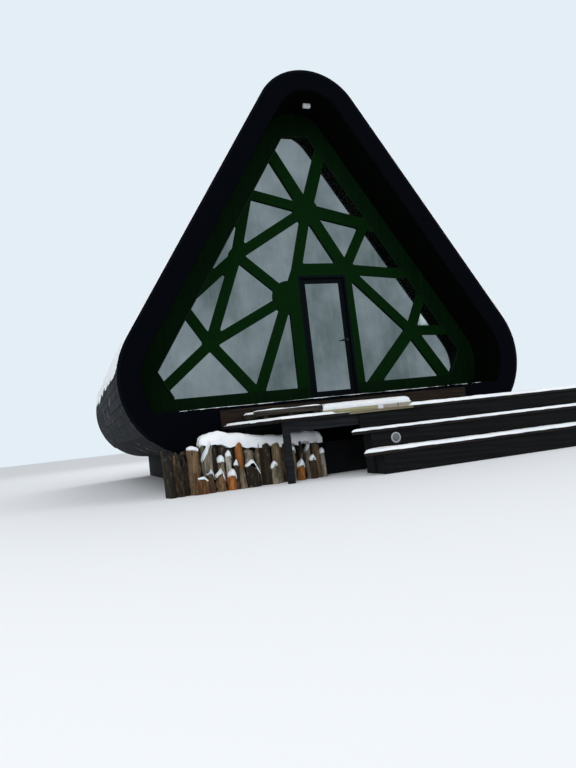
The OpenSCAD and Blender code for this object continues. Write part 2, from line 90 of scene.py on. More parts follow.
class Graph:
    """A material's node tree, with short calls that add its nodes and join them."""

    def __init__(self, name: str) -> None:
        """Starts an empty material.

        Args:
            name: Name of the material.
        """
        self.material = bpy.data.materials.new(name)
        self.material.use_nodes = True
        self.tree = self.material.node_tree
        self.tree.nodes.clear()

    def node(self, kind: str, inputs: dict[Any, Any], **settings: Any) -> bpy.types.Node:
        """Adds a node.

        Args:
            kind: The node's type, without its ShaderNode prefix.
            inputs: Socket name or number to a value, or to an output socket that is linked to it.
            settings: Properties of the node itself.

        Returns:
            The new node.
        """
        made = self.tree.nodes.new("ShaderNode" + kind)
        for key, value in settings.items():
            setattr(made, key, value)
        for key, value in inputs.items():
            if isinstance(value, bpy.types.NodeSocket):
                self.tree.links.new(value, made.inputs[key])
            else:
                made.inputs[key].default_value = value
        return made

    def place(self, stretch: Sequence[float] = (1, 1, 1)) -> Any:
        """Object coordinates, stretched on X, Y and Z, as a vector socket."""
        where = self.node("TexCoord", {}).outputs["Object"]
        return self.node("Mapping", {"Vector": where, "Scale": stretch}).outputs[0]

    def noise(self, vector: Any, scale: float, detail: float = 4.0, rough: float = 0.55) -> Any:
        """Noise at a scale in cycles a metre, as a value socket."""
        return self.node("TexNoise", {"Vector": vector, "Scale": scale, "Detail": detail,
                                      "Roughness": rough}).outputs[0]

    def ramp(self, factor: Any, stops: Sequence[tuple[float, Colour]]) -> Any:
        """Colours along a factor.

        Args:
            factor: Value socket from 0 to 1.
            stops: Position and colour of each stop.

        Returns:
            The colour socket.
        """
        made = self.node("ValToRGB", {0: factor})
        band = made.color_ramp.elements
        while len(band) < len(stops):
            band.new(0.5)
        for element, (position, colour) in zip(band, stops):
            element.position = position
            element.color = colour
        return made.outputs[0]

    def span(self, factor: Any, low: float, high: float, to_low: float = 0.0, to_high: float = 1.0) -> Any:
        """Maps a value from one range to another, held at its ends."""
        return self.node("MapRange", {0: factor, 1: low, 2: high, 3: to_low, 4: to_high}).outputs[0]

    def sum(self, operation: str, first: Any, second: Any) -> Any:
        """One step of arithmetic, such as ADD or MULTIPLY, on values or value sockets."""
        return self.node("Math", {0: first, 1: second}, operation=operation).outputs[0]

    def mix(self, factor: Any, first: Any, second: Any, how: str = "MIX") -> Any:
        """Mixes two colours by a factor and returns the colour socket."""
        made = self.node("Mix", {0: factor, 6: first, 7: second}, data_type="RGBA", blend_type=how)
        return made.outputs[2]

    def bump(self, height: Any, depth: float, strength: float = 1.0) -> Any:
        """Normal that a height from 0 to 1 gives, at a depth in metres."""
        return self.node("Bump", {"Height": height, "Distance": depth, "Strength": strength}).outputs[0]

    def surface(self, **inputs: Any) -> bpy.types.Material:
        """Ends the tree in one surface shader.

        Args:
            inputs: Sockets of the shader, with _ for a space.

        Returns:
            The finished material.
        """
        named = {key.replace("_", " "): value for key, value in inputs.items()}
        shader = self.node("BsdfPrincipled", named)
        self.node("OutputMaterial", {"Surface": shader.outputs[0]})
        return self.material


@dataclass(frozen=True)
class Finish:
    """A finish by name; each kind builds its own material."""

    name: str

    def build(self) -> bpy.types.Material:
        """Builds the material."""
        raise NotImplementedError


@dataclass(frozen=True)
class Paint(Finish):
    """Matt or satin paint over timber or metal, with soft streaks and a little dust."""

    colour: Colour
    streak: Colour
    axis: Axis = Axis.NONE
    roughness: float = 0.55
    gloss: float = 0.12
    streak_scale: float = 22.0
    cloud_scale: float = 1.3
    grain_scale: float = 160.0
    grain_depth: float = 0.0006

    def build(self) -> bpy.types.Material:
        """Builds the paint: cloudy tone, streaks along the axis and fine grain in the surface.

        Returns:
            The material.
        """
        graph = Graph(self.name)
        along = graph.place(self.axis.value)
        streaks = graph.noise(along, self.streak_scale, detail=5.0, rough=0.65)
        clouds = graph.noise(graph.place(), self.cloud_scale, detail=3.0)
        tone = graph.mix(graph.span(streaks, 0.42, 0.68), self.colour, self.streak)
        tone = graph.mix(graph.span(clouds, 0.35, 0.7, 0.0, 0.55), tone, self.colour)
        grain = graph.noise(along, self.grain_scale, detail=6.0, rough=0.7)
        worn = graph.span(streaks, 0.3, 0.7, self.roughness - 0.08, self.roughness + 0.1)
        return graph.surface(Base_Color=tone, Roughness=worn, Specular_IOR_Level=self.gloss,
                             Normal=graph.bump(grain, self.grain_depth))


@dataclass(frozen=True)
class Timber(Finish):
    """Bare, oiled or stained timber with grain along one axis and a tone that changes per board."""

    light: Colour
    dark: Colour
    axis: Axis
    board: float = 0.14
    roughness: float = 0.62
    gloss: float = 0.25
    ring_scale: float = 7.0
    fibre_scale: float = 90.0
    fibre_depth: float = 0.0008

    def build(self) -> bpy.types.Material:
        """Builds the timber: long grain, finer fibres, and a change of tone from board to board.

        Returns:
            The material.
        """
        graph = Graph(self.name)
        along = graph.place(self.axis.value)
        rings = graph.node("TexWave", {"Vector": along, "Scale": self.ring_scale, "Distortion": 9.0,
                                       "Detail": 4.0, "Detail Scale": 1.6},
                           bands_direction="DIAGONAL").outputs[1]
        fibres = graph.noise(along, self.fibre_scale, detail=6.0, rough=0.7)
        boards = graph.node("TexVoronoi", {"Vector": along, "Scale": 1 / self.board},
                            feature="F1", distance="CHEBYCHEV").outputs["Color"]
        tone = graph.sum("ADD", graph.sum("MULTIPLY", rings, 0.45), graph.sum("MULTIPLY", fibres, 0.55))
        colour = graph.ramp(tone, [(0.15, self.dark), (0.8, self.light)])
        shade = graph.node("SeparateColor", {0: boards}).outputs[0]
        colour = graph.mix(graph.span(shade, 0.0, 1.0, 0.0, 0.35), colour, self.dark)
        return graph.surface(Base_Color=colour, Roughness=self.roughness, Specular_IOR_Level=self.gloss,
                             Normal=graph.bump(fibres, self.fibre_depth))


@dataclass(frozen=True)
class Pane(Finish):
    """Sealed glazing that mirrors a pale sky, with painted reflection patches and upright lighter streaks."""

    bright: Colour = rgb(146, 154, 156)
    dull: Colour = rgb(92, 103, 102)
    cloud_scale: float = 0.9
    run_scale: float = 26.0
    wave_scale: float = 1.6
    wave_depth: float = 0.004

    def build(self) -> bpy.types.Material:
        """Builds the glass as a dim mirror, toned by the coating, with painted reflection patches over it.

        Returns:
            The material.
        """
        graph = Graph(self.name)
        clouds = graph.noise(graph.place((1.0, 1.0, 0.7)), self.cloud_scale, detail=5.0, rough=0.6)
        runs = graph.noise(graph.place(Axis.Z.value), self.run_scale, detail=4.0, rough=0.6)
        # Painted reflection: soft dark and light patches in the mirror's tint.
        tone = graph.ramp(clouds, [(0.32, self.dull), (0.68, self.bright)])
        tone = graph.mix(graph.span(runs, 0.5, 0.8, 0.0, 0.25), tone, self.bright)
        wave = graph.noise(graph.place(), self.wave_scale, detail=1.0)
        return graph.surface(Base_Color=tone, Metallic=0.99, Roughness=0.05, Specular_IOR_Level=0.5,
                             Normal=graph.bump(wave, self.wave_depth, 0.35))


@dataclass(frozen=True)
class Shingle(Finish):
    """Mineral shingle: dark granules, with a tone of its own on each tab and frost between them."""

    dark: Colour = rgb(13, 15, 19)
    light: Colour = rgb(42, 45, 51)
    frost: Colour = rgb(206, 214, 222)
    granule_scale: float = 420.0
    granule_depth: float = 0.002
    frost_scale: float = 2.4

    def build(self) -> bpy.types.Material:
        """Builds the shingle from the tabs' own tone and granules a few millimetres across.

        Returns:
            The material.
        """
        graph = Graph(self.name)
        tone = graph.node("Attribute", {}, attribute_name="tone").outputs["Fac"]
        granules = graph.noise(graph.place(), self.granule_scale, detail=3.0, rough=0.6)
        mixed = graph.sum("ADD", graph.sum("MULTIPLY", tone, 0.5), graph.sum("MULTIPLY", granules, 0.5))
        colour = graph.ramp(mixed, [(0.2, self.dark), (0.85, self.light)])
        patches = graph.noise(graph.place(), self.frost_scale, detail=6.0, rough=0.7)
        colour = graph.mix(graph.span(patches, 0.6, 0.72, 0.0, 0.55), colour, self.frost)
        return graph.surface(Base_Color=colour, Roughness=0.92, Specular_IOR_Level=0.15,
                             Normal=graph.bump(granules, self.granule_depth))


@dataclass(frozen=True)
class Snow(Finish):
    """Settled snow: nearly white, with painted shade that makes its hollows a little blue, and soft grains.
    """

    bright: Colour = rgb(247, 250, 253)
    hollow: Colour = rgb(229, 236, 243)
    drift_scale: float = 2.4
    grain_scale: float = 190.0
    depth: float = 0.012

    def build(self) -> bpy.types.Material:
        """Builds the snow from broad drifts and fine grains.

        Returns:
            The material.
        """
        graph = Graph(self.name)
        drift = graph.noise(graph.place(), self.drift_scale, detail=6.0, rough=0.62)
        grains = graph.noise(graph.place(), self.grain_scale, detail=3.0, rough=0.7)
        # The drift noise also raises the bump, so its hollows take the bluer colour as painted shade.
        colour = graph.ramp(drift, [(0.3, self.hollow), (0.62, self.bright)])
        both = graph.sum("ADD", drift, graph.sum("MULTIPLY", grains, 0.25))
        return graph.surface(Base_Color=colour, Roughness=0.75, Specular_IOR_Level=0.3,
                             Subsurface_Weight=0.15, Subsurface_Scale=0.02,
                             Normal=graph.bump(both, self.depth, 0.8))


@dataclass(frozen=True)
class LogWood(Finish):
    """Bark or split face of a log, with a tone set on each log, dark on logs in shade as painted shade."""

    tones: tuple[Colour, ...]
    ridge: float
    roughness: float = 0.85
    crack: Colour = rgb(26, 19, 14)
    weathered: Colour = rgb(150, 140, 122)
    stain: Colour = rgb(34, 27, 20)
    fibre_scale: float = 48.0
    streak_scale: float = 26.0
    stain_scale: float = 9.0

    def build(self) -> bpy.types.Material:
        """Builds the wood: the log's tone, dark as painted shade on shaded logs, upright fibres or ridges,
        and weathered patches.

        Returns:
            The material.
        """
        graph = Graph(self.name)
        # Each log's tone; logs in shade carry dark tones as painted shade.
        own = graph.node("Attribute", {}, attribute_name="tone").outputs["Fac"]
        along = graph.place((1.0, 1.0, 0.12))
        fibres = graph.noise(along, self.fibre_scale, detail=6.0, rough=0.7)
        patches = graph.noise(graph.place(), self.stain_scale, detail=4.0, rough=0.6)
        steps = [(i / (len(self.tones) - 1), tone) for i, tone in enumerate(self.tones)]
        colour = graph.ramp(own, steps)
        streaks = graph.noise(graph.place((1.0, 1.0, 0.3)), self.streak_scale, detail=5.0, rough=0.65)
        colour = graph.mix(graph.span(fibres, 0.38, 0.60, 0.75, 0.0), colour, self.crack)
        colour = graph.mix(graph.span(streaks, 0.56, 0.70, 0.0, 0.45), colour, self.weathered)
        colour = graph.mix(graph.span(patches, 0.30, 0.46, 0.55, 0.0), colour, self.stain)
        return graph.surface(Base_Color=colour, Roughness=self.roughness, Specular_IOR_Level=0.2,
                             Normal=graph.bump(fibres, self.ridge))


@dataclass(frozen=True)
class Plain(Finish):
    """Concrete, metal or opal plastic: one colour with cloud, pits and its own gloss."""

    colour: Colour
    other: Colour
    scale: float
    roughness: float
    metallic: float = 0.0
    gloss: float = 0.4
    depth: float = 0.0005
    glow: float = 0.0
    axis: Axis = Axis.NONE
    finer: float = 12.0

    def build(self) -> bpy.types.Material:
        """Builds the finish from two noises, coarse and fine.

        Returns:
            The material.
        """
        graph = Graph(self.name)
        where = graph.place(self.axis.value)
        coarse = graph.noise(where, self.scale, detail=5.0, rough=0.6)
        fine = graph.noise(where, self.scale * self.finer, detail=4.0, rough=0.6)
        colour = graph.ramp(coarse, [(0.35, self.colour), (0.7, self.other)])
        return graph.surface(Base_Color=colour, Roughness=self.roughness, Metallic=self.metallic,
                             Specular_IOR_Level=self.gloss, Emission_Color=self.colour,
                             Emission_Strength=self.glow, Normal=graph.bump(fine, self.depth))


SLOPE = math.radians(32.6)
FINISHES: dict[str, Finish] = {finish.name: finish for finish in (
    Plain("plinth", rgb(20, 22, 24), rgb(30, 31, 33), 5.0, 0.9, depth=0.002, gloss=0.1),
    Timber("base", rgb(58, 52, 46), rgb(34, 31, 29), Axis.X),
    Shingle("shell"),
    Timber("joist", rgb(168, 140, 102), rgb(116, 90, 62), Axis.Y),
    Timber("floor", rgb(118, 90, 64), rgb(74, 54, 38), Axis.Y),
    Paint("fascia", rgb(4, 6, 11), rgb(7, 9, 14), roughness=0.75, gloss=0.01),
    Paint("lining", rgb(4, 7, 4), rgb(7, 12, 6), roughness=0.8, gloss=0.01),
    # The surround is a darker green than the lattice; the darkening is painted shade from the recess.
    Paint("surround", rgb(5, 22, 8), rgb(8, 30, 11), Axis.Z, roughness=0.65, gloss=0.02),
    Paint("bead", rgb(9, 22, 11), rgb(13, 28, 14), Axis.Z, roughness=0.45, gloss=0.08),
    Paint("lattice", rgb(4, 29, 6), rgb(7, 37, 8), roughness=0.55, gloss=0.02),
    Pane("glass"),
    Paint("wall", rgb(6, 22, 8), rgb(10, 31, 12), Axis.Z, roughness=0.6, gloss=0.05),
    Paint("door", rgb(4, 9, 13), rgb(8, 15, 20), Axis.Z, roughness=0.5, gloss=0.03, grain_depth=0.0002),
    Plain("iron", rgb(34, 36, 38), rgb(46, 47, 49), 30.0, 0.45, metallic=0.7, axis=Axis.X),
    Timber("deck", rgb(36, 33, 32), rgb(18, 17, 17), Axis.X, gloss=0.08),
    Timber("edge", rgb(142, 135, 112), rgb(100, 92, 74), Axis.X, board=0.3, gloss=0.05),
    Timber("tread", rgb(38, 33, 31), rgb(19, 17, 17), Axis.X, gloss=0.08),
    Timber("riser", rgb(25, 26, 27), rgb(12, 13, 14), Axis.X, gloss=0.05),
    Timber("bearer", rgb(36, 39, 42), rgb(20, 22, 24), Axis.X, gloss=0.05),
    Timber("step", rgb(195, 191, 152), rgb(142, 137, 106), Axis.X, board=0.3),
    Timber("block", rgb(196, 189, 176), rgb(150, 143, 132), Axis.X, board=0.3),
    # Dark timber for the step's left planks, beside the pale blocks.
    Timber("worn", rgb(70, 66, 60), rgb(30, 29, 28), Axis.X, board=0.3, gloss=0.05),
    Timber("board", rgb(44, 35, 28), rgb(23, 19, 16), Axis.X, board=0.25, gloss=0.05),
    LogWood("log", (rgb(32, 27, 22), rgb(66, 53, 39), rgb(178, 112, 54), rgb(122, 104, 80),
                    rgb(146, 138, 120), rgb(188, 186, 174)), 0.006),
    LogWood("bark", (rgb(30, 27, 22), rgb(54, 47, 34), rgb(74, 70, 52), rgb(96, 90, 74)), 0.014),
    Plain("lamp", rgb(204, 208, 210), rgb(192, 196, 199), 20.0, 0.35, glow=0.12),
    Plain("lens", rgb(84, 89, 92), rgb(98, 103, 106), 20.0, 0.2),
    Plain("ring", rgb(150, 155, 158), rgb(168, 172, 174), 30.0, 0.35, metallic=0.3),
    Plain("trim", rgb(4, 6, 13), rgb(7, 9, 16), 8.0, 0.6, gloss=0.03),
    Snow("snow"),
)}


class Palette:
    """Builds each finish once and hands it out."""

    def __init__(self) -> None:
        """Starts with nothing built."""
        self._built: dict[str, bpy.types.Material] = {}

    def __getitem__(self, name: str) -> bpy.types.Material:
        """The material of a finish.

        Args:
            name: Name of the finish.

        Returns:
            The material, built at the first call for it.
        """
        if name not in self._built:
            self._built[name] = FINISHES[name].build()
        return self._built[name]


def soften(mesh: BMesh, angle: float = 0.7) -> None:
    """Shades faces smooth across edges that turn by less than an angle, and keeps the others sharp.

    Args:
        mesh: The mesh to shade.
        angle: Largest smooth turn, in radians.
    """
    for face in mesh.faces:
        face.smooth = True
    for edge in mesh.edges:
        edge.smooth = edge.calc_face_angle(0.0) < angle


def block(mesh: BMesh, low: Sequence[float], high: Sequence[float], bevel: float = 0.0,
          material: int = 0) -> list[BMVert]:
    """Adds a box with eased edges.

    Args:
        mesh: The mesh to add to.
        low: Lowest corner.
        high: Highest corner.
        bevel: Width of the eased edges.
        material: Number of the material slot.

    Returns:
        The new vertices.
    """
    size = Vector(high) - Vector(low)
    centre = (Vector(high) + Vector(low)) / 2
    matrix = Matrix.Translation(centre) @ Matrix.Diagonal((*size, 1.0))
    verts = bmesh.ops.create_cube(mesh, size=1.0, matrix=matrix)["verts"]
    for face in {f for v in verts for f in v.link_faces}:
        face.material_index = material
    if bevel <= 0.0:
        return verts
    edges = list({e for v in verts for e in v.link_edges})
    made = bmesh.ops.bevel(mesh, geom=edges, offset=bevel, affect="EDGES", segments=2, profile=0.5,
                           material=-1, clamp_overlap=True)
    return made["verts"]


def slice_off(mesh: BMesh, point: Vector, normal: Vector) -> None:
    """Cuts off all of a mesh that lies before a plane, and closes the cut.

    Args:
        mesh: The mesh to cut.
        point: Point on the plane.
        normal: Direction from the plane towards what goes.
    """
    geom = list(mesh.verts) + list(mesh.edges) + list(mesh.faces)
    cut = bmesh.ops.bisect_plane(mesh, geom=geom, plane_co=point, plane_no=normal,
                                 clear_outer=True)["geom_cut"]
    bmesh.ops.holes_fill(mesh, edges=edges_in(cut), sides=0)


def verts_in(geom: Iterable[Any]) -> list[BMVert]:
    """The vertices among mixed geometry."""
    return [g for g in geom if isinstance(g, BMVert)]


def edges_in(geom: Iterable[Any]) -> list[BMEdge]:
    """The edges among mixed geometry."""
    return [g for g in geom if isinstance(g, BMEdge)]


def faces_in(geom: Iterable[Any]) -> list[BMFace]:
    """The faces among mixed geometry."""
    return [g for g in geom if isinstance(g, BMFace)]


def rectangle(left: float, right: float, front: float, back: float) -> Corners:
    """Corners of a level rectangle, from the front left one round to the back left one."""
    return (left, front), (right, front), (right, back), (left, back)


def drifts(where: Vector, octaves: int) -> float:
    """Noise of about -1 to 1 at a place, each octave half as long and half as tall as the one before."""
    return noise.fractal(where, 1.0, 2.0, octaves)


def ripple(x: float, y: float, scale: float, layer: float) -> float:
    """Noise of -1 to 1 at a place in plan, at a scale in cycles a metre, from one layer of the noise."""
    return noise.noise(Vector((x * scale, y * scale, layer)))


class Workshop:
    """Turns finished meshes into pieces that ride on the cabin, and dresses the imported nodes."""

    def __init__(self) -> None:
        """Starts with an empty palette."""
        self.palette = Palette()

    def dress(self, finish: str, nodes: Iterable[str]) -> None:
        """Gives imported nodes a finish.

        Args:
            finish: Name of the finish.
            nodes: Names of the nodes.
        """
        for name in nodes:
            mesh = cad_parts[name].data
            mesh.materials.clear()
            mesh.materials.append(self.palette[finish])
            LOG.info("dressed %s in %s", name, finish)

    def piece(self, name: str, mesh: BMesh, finishes: Sequence[str], slot: str,
              replaces: Sequence[str] = (), smooth: float = 0.7) -> bpy.types.Object:
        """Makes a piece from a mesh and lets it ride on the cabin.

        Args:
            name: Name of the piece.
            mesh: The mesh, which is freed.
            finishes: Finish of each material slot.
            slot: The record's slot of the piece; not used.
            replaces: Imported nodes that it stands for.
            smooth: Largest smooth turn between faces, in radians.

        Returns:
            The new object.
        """
        bmesh.ops.recalc_face_normals(mesh, faces=mesh.faces)
        mesh.normal_update()
        soften(mesh, smooth)
        data = bpy.data.meshes.new(name)
        mesh.to_mesh(data)
        mesh.free()
        for finish in finishes:
            data.materials.append(self.palette[finish])
        made = bpy.data.objects.new(name, data)
        bpy.context.scene.collection.objects.link(made)
        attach(made, CABIN)
        if replaces:
            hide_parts(*replaces)
        LOG.info("made %s with %d faces", name, len(data.polygons))
        return made


@dataclass(frozen=True)
class ShellProfile:
    """Outer outline of the shell, walked from the ridge down either side."""

    half_angle: float = SLOPE
    ridge_r: float = 0.940
    corner_r: float = 1.190
    base: float = 0.500
    top: float = 6.665

    @property
    def ridge_turn(self) -> float:
        """Angle from straight up to square with the slope."""
        return math.pi / 2 - self.half_angle

    @property
    def ridge_centre(self) -> Vector:
        """Centre of the rounded top."""
        return Vector((0.0, 0.0, self.top - self.ridge_r))

    @property
    def peak(self) -> float:
        """Height at which the two outer slopes would meet."""
        return self.top + self.ridge_r * (1 / math.sin(self.half_angle) - 1)

    @property
    def corner_centre(self) -> Vector:
        """Centre of the right lower corner.

        Returns:
            The centre at Y = 0.
        """
        height = self.peak - self.base - self.corner_r
        x = height * math.tan(self.half_angle) - self.corner_r / math.cos(self.half_angle)
        return Vector((x, 0.0, self.base + self.corner_r))

    @property
    def ridge_length(self) -> float:
        """Length of the outline from the ridge to the start of the slope."""
        return self.ridge_r * self.ridge_turn

    @property
    def slope(self) -> Vector:
        """The straight right slope, from its top to its foot."""
        return self.rim(self.corner_centre, self.corner_r, self.ridge_turn) - self.rim(
            self.ridge_centre, self.ridge_r, self.ridge_turn)

    @staticmethod
    def rim(centre: Vector, radius: float, angle: float) -> Vector:
        """Point on a circle, with the angle measured from straight up towards the right."""
        return centre + radius * Vector((math.sin(angle), 0.0, math.cos(angle)))

    def at(self, walk: float, out: float = 0.0) -> tuple[Vector, float]:
        """Point on the outline.

        Args:
            walk: Distance from the ridge, positive to the right and negative to the left.
            out: Distance outside the outline.

        Returns:
            The point at Y = 0, and the angle of its outward normal from straight up.
        """
        far = abs(walk)
        side = 1.0 if walk >= 0 else -1.0
        slope = self.slope
        if far < self.ridge_length:
            angle = far / self.ridge_r
            point = self.rim(self.ridge_centre, self.ridge_r + out, angle)
        elif far < self.ridge_length + slope.length:
            angle = self.ridge_turn
            start = self.rim(self.ridge_centre, self.ridge_r + out, angle)
            point = start + slope.normalized() * (far - self.ridge_length)
        else:
            angle = self.ridge_turn + (far - self.ridge_length - slope.length) / self.corner_r
            point = self.rim(self.corner_centre, self.corner_r + out, angle)
        return Vector((point.x * side, 0.0, point.z)), angle * side

    def sweep(self, mesh: BMesh, section: Sequence[tuple[float, float]], end: float, steps: int = 24) -> None:
        """Sweeps a closed section round the shell, from low on the right to low on the left.

        Args:
            mesh: The mesh to add to.
            section: Points as depth in Y and distance outside the outline.
            end: Angle of the sweep's ends about the lower corners, from straight up.
            steps: Faces round each lower corner.
        """
        centre = self.corner_centre
        rims = [self.rim(centre, self.corner_r + out, end) for _, out in section]
        verts = [mesh.verts.new((rim.x, depth, rim.z)) for rim, (depth, _) in zip(rims, section)]
        edges = [mesh.edges.new((verts[i - 1], verts[i])) for i in range(len(verts))]
        mesh.faces.new(verts)
        left = Vector((-centre.x, 0.0, centre.z))
        drop = Vector((-self.slope.x, 0.0, self.slope.z))
        bend = self.ridge_turn - end
        loop = self._spin(mesh, verts + edges, centre, bend, steps)
        loop = self._push(mesh, loop, -self.slope)
        loop = self._spin(mesh, loop, self.ridge_centre, -2 * self.ridge_turn, 2 * steps)
        loop = self._push(mesh, loop, drop)
        loop = self._spin(mesh, loop, left, bend, steps)
        bmesh.ops.contextual_create(mesh, geom=edges_in(loop))

    @staticmethod
    def _spin(mesh: BMesh, loop: list[Any], centre: Vector, angle: float, steps: int) -> list[Any]:
        """Spins a loop about Y and returns the loop at the far end."""
        return bmesh.ops.spin(mesh, geom=loop, cent=centre, axis=(0, 1, 0), angle=angle, steps=steps,
                              use_merge=False)["geom_last"]

    @staticmethod
    def _push(mesh: BMesh, loop: list[Any], by: Vector) -> list[Any]:
        """Extrudes a loop along a straight way.

        Args:
            mesh: The mesh to add to.
            loop: Vertices and edges of the loop.
            by: The way to its far end.

        Returns:
            The loop at the far end.
        """
        made = bmesh.ops.extrude_edge_only(mesh, edges=edges_in(loop))["geom"]
        verts = verts_in(made)
        bmesh.ops.translate(mesh, verts=verts, vec=by)
        return verts + [edge for edge in edges_in(made) if all(v in verts for v in edge.verts)]


@dataclass
class Assembly:
    """A sub-assembly, with the workshop that makes its pieces."""

    shop: Workshop

    def build(self) -> None:
        """Builds the pieces."""
        raise NotImplementedError


@dataclass
class Roof(Assembly):
    """The shell's covering: courses of shingles, the metal edges and the snow on the slopes."""

    profile: ShellProfile
    exposure: float = 0.145
    lap: float = 0.03
    tab: float = 0.33
    least_tab: float = 0.03
    slot_w: float = 0.007
    thickness: float = 0.006
    uneven: tuple[float, float] = (0.8, 1.25)
    last_angle: float = math.radians(138)
    edge_w: float = 0.07
    edge_t: float = 0.004
    edge_lip: float = 0.028
    edge_stand: float = 0.04
    seed: int = 11

    def build(self) -> None:
        """Builds every piece of the covering."""
        low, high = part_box("roof_left")
        self.shingles(low.y, high.y)
        self.metal_edges(low.y, high.y)
        for side in (-1, 1):
            SlopeSnow(self.shop, self.profile, low.y, high.y, side).build()

    def walk_end(self) -> float:
        """Length of the outline from the ridge to the last course."""
        arc = self.last_angle - self.profile.ridge_turn
        return self.profile.ridge_length + self.profile.slope.length + arc * self.profile.corner_r

    def shingles(self, front: float, back: float) -> None:
        """Lays the courses of tabs, each half a tab aside from the one below it.

        Args:
            front: Front end of the shell.
            back: Back end of the shell.
        """
        mesh = bmesh.new()
        tone = mesh.verts.layers.float.new("tone")
        rng = random.Random(self.seed)
        for side in (-1, 1):
            for course in range(int(self.walk_end() / self.exposure)):
                walk = side * (course + 0.5) * self.exposure
                point, angle = self.profile.at(walk, self.thickness / 2)
                start = front - self.tab * (0.5 if course % 2 else 0.0)
                while start < back:
                    near = max(start, front) + self.slot_w / 2
                    far = min(start + self.tab, back) - self.slot_w / 2
                    if far - near > self.least_tab:
                        self._tab(mesh, tone, rng, (point, angle, side), near, far)
                    start += self.tab
        self.shop.piece("roof_shingles", mesh, ["shell"], "shell", smooth=0.3)

    def _tab(self, mesh: BMesh, tone: Any, rng: random.Random, seat: tuple[Vector, float, int],
             near: float, far: float) -> None:
        """Adds one tab, a thin plate that leans so that its lower edge stands off the course below.

        Args:
            mesh: The mesh to add to.
            tone: The layer that holds each tab's own tone.
            rng: Source of its thickness and tone.
            seat: Middle of its course, the outward angle there, and the side, -1 left or 1 right.
            near: Front end of the tab.
            far: Back end of the tab.
        """
        point, angle, side = seat
        reach = self.exposure + self.lap
        thick = self.thickness * rng.uniform(*self.uneven)
        lift = side * math.atan(self.thickness / reach)
        matrix = (Matrix.Translation((point.x, (near + far) / 2, point.z))
                  @ Matrix.Rotation(angle - lift, 4, "Y")
                  @ Matrix.Diagonal((reach, far - near, thick, 1.0)))
        shade = rng.random()
        for vert in bmesh.ops.create_cube(mesh, size=1.0, matrix=matrix)["verts"]:
            vert[tone] = shade

    def metal_edges(self, front: float, back: float) -> None:
        """Bends a thin metal edge over both ends of the covering.

        Args:
            front: Front end of the shell.
            back: Back end of the shell.
        """
        mesh = bmesh.new()
        rise = 3 * self.thickness
        for face_y, inward in ((front - self.edge_stand, 1.0), (back + self.edge_stand, -1.0)):
            outside = face_y - inward * self.edge_t
            inner = face_y + inward * self.edge_w
            section = [(outside, -self.edge_lip), (outside, rise), (inner, rise),
                       (inner, rise - self.edge_t), (face_y, rise - self.edge_t),
                       (face_y, -self.edge_lip)]
            self.profile.sweep(mesh, section, self.last_angle)
        self.shop.piece("roof_edges", mesh, ["trim"], "fascia")


@dataclass
class SlopeSnow(Assembly):
    """Snow on one slope: thin near the ridge, thick at the foot, with a ragged upper and lower edge."""

    profile: ShellProfile
    front: float
    back: float
    side: int
    columns: int = 190
    rows: int = 150
    bare_arc: float = 0.72
    past_foot: float = 0.62
    past_ends: float = 0.035
    wall: float = 0.03
    thin: float = 0.022
    gain: float = 0.036
    bulge: float = 1.5
    drift: float = 0.020
    drift_scale: float = 0.9
    ruffle: float = 0.005
    ruffle_scale: float = 5.0
    least: float = 0.019
    edge_slope: float = 0.77
    edge_low: float = 0.02
    fray: float = 0.03
    end_slope: float = 1.8
    end_t: float = 0.016
    noise_origin: tuple[float, float, float] = (31.0, 4.0, 9.0)

    def build(self) -> None:
        """Lays the snow as a grid bent to the outline."""
        name = "left" if self.side < 0 else "right"
        mesh = bmesh.new()
        start = self.profile.ridge_length * self.bare_arc
        stop = self.profile.ridge_length + self.profile.slope.length + self.past_foot
        bmesh.ops.create_grid(mesh, x_segments=self.columns, y_segments=self.rows, size=0.5)
        across, ahead, above = self.noise_origin
        origin = Vector((across * self.side, ahead, above))
        for vert in mesh.verts:
            along, down = vert.co.x + 0.5, vert.co.y + 0.5
            y = self.front - self.past_ends + along * (self.back - self.front + 2 * self.past_ends)
            walk = start + down * (stop - start)
            depth = self._depth(along, down, Vector((y, walk, 0.0)) + origin)
            point, _ = self.profile.at(self.side * walk, depth)
            vert.co = Vector((point.x, y, point.z))
        made = self.shop.piece(f"roof_snow_{name}", mesh, ["snow"], "shell", smooth=1.2)
        wall = made.modifiers.new("thickness", "SOLIDIFY")
        wall.thickness = self.wall
        wall.offset = -1.0

    def _depth(self, along: float, down: float, where: Vector) -> float:
        """Height of the snow's surface over the shell.

        Args:
            along: Share of the way from the front to the back.
            down: Share of the way from the upper edge to the lower one.
            where: Place in the noise.

        Returns:
            The height, below zero where the shingles show.
        """
        broad = drifts(where * self.drift_scale, octaves=4)
        fine = drifts(where * self.ruffle_scale, octaves=3)
        deep = self.thin + self.gain * down ** self.bulge + self.drift * broad + self.ruffle * fine
        edge = self.edge_slope * min(down, 1 - down) - self.edge_low + self.fray * broad
        end = self.end_t + self.end_slope * min(along, 1 - along)
        return min(max(deep, self.least), edge, end)


@dataclass
class PorchLining(Assembly):
    """Boards that line the recess in front of the gable."""

    profile: ShellProfile
    boards: int = 5
    gap: float = 0.006
    lining_t: float = 0.025
    thickness: float = 0.010
    bevel: float = 0.004
    ahead: float = 0.03
    short: float = 0.004
    end_angle: float = math.radians(117)
    steps: int = 14

    def build(self) -> None:
        """Sweeps each board of the front recess round the shell's inside."""
        low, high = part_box("lining_ridge")
        root = high.z - self.profile.top - self.lining_t
        face = root - self.thickness
        front = low.y - self.ahead
        width = (high.y - self.short - front) / self.boards
        mesh = bmesh.new()
        for number in range(self.boards):
            near = front + number * width + self.gap / 2
            far = near + width - self.gap
            section = [(near, root), (near, face + self.bevel), (near + self.bevel, face),
                       (far - self.bevel, face), (far, face + self.bevel), (far, root)]
            self.profile.sweep(mesh, section, self.end_angle, self.steps)
        self.shop.piece("porch_boards", mesh, ["lining"], "lining", smooth=0.3)


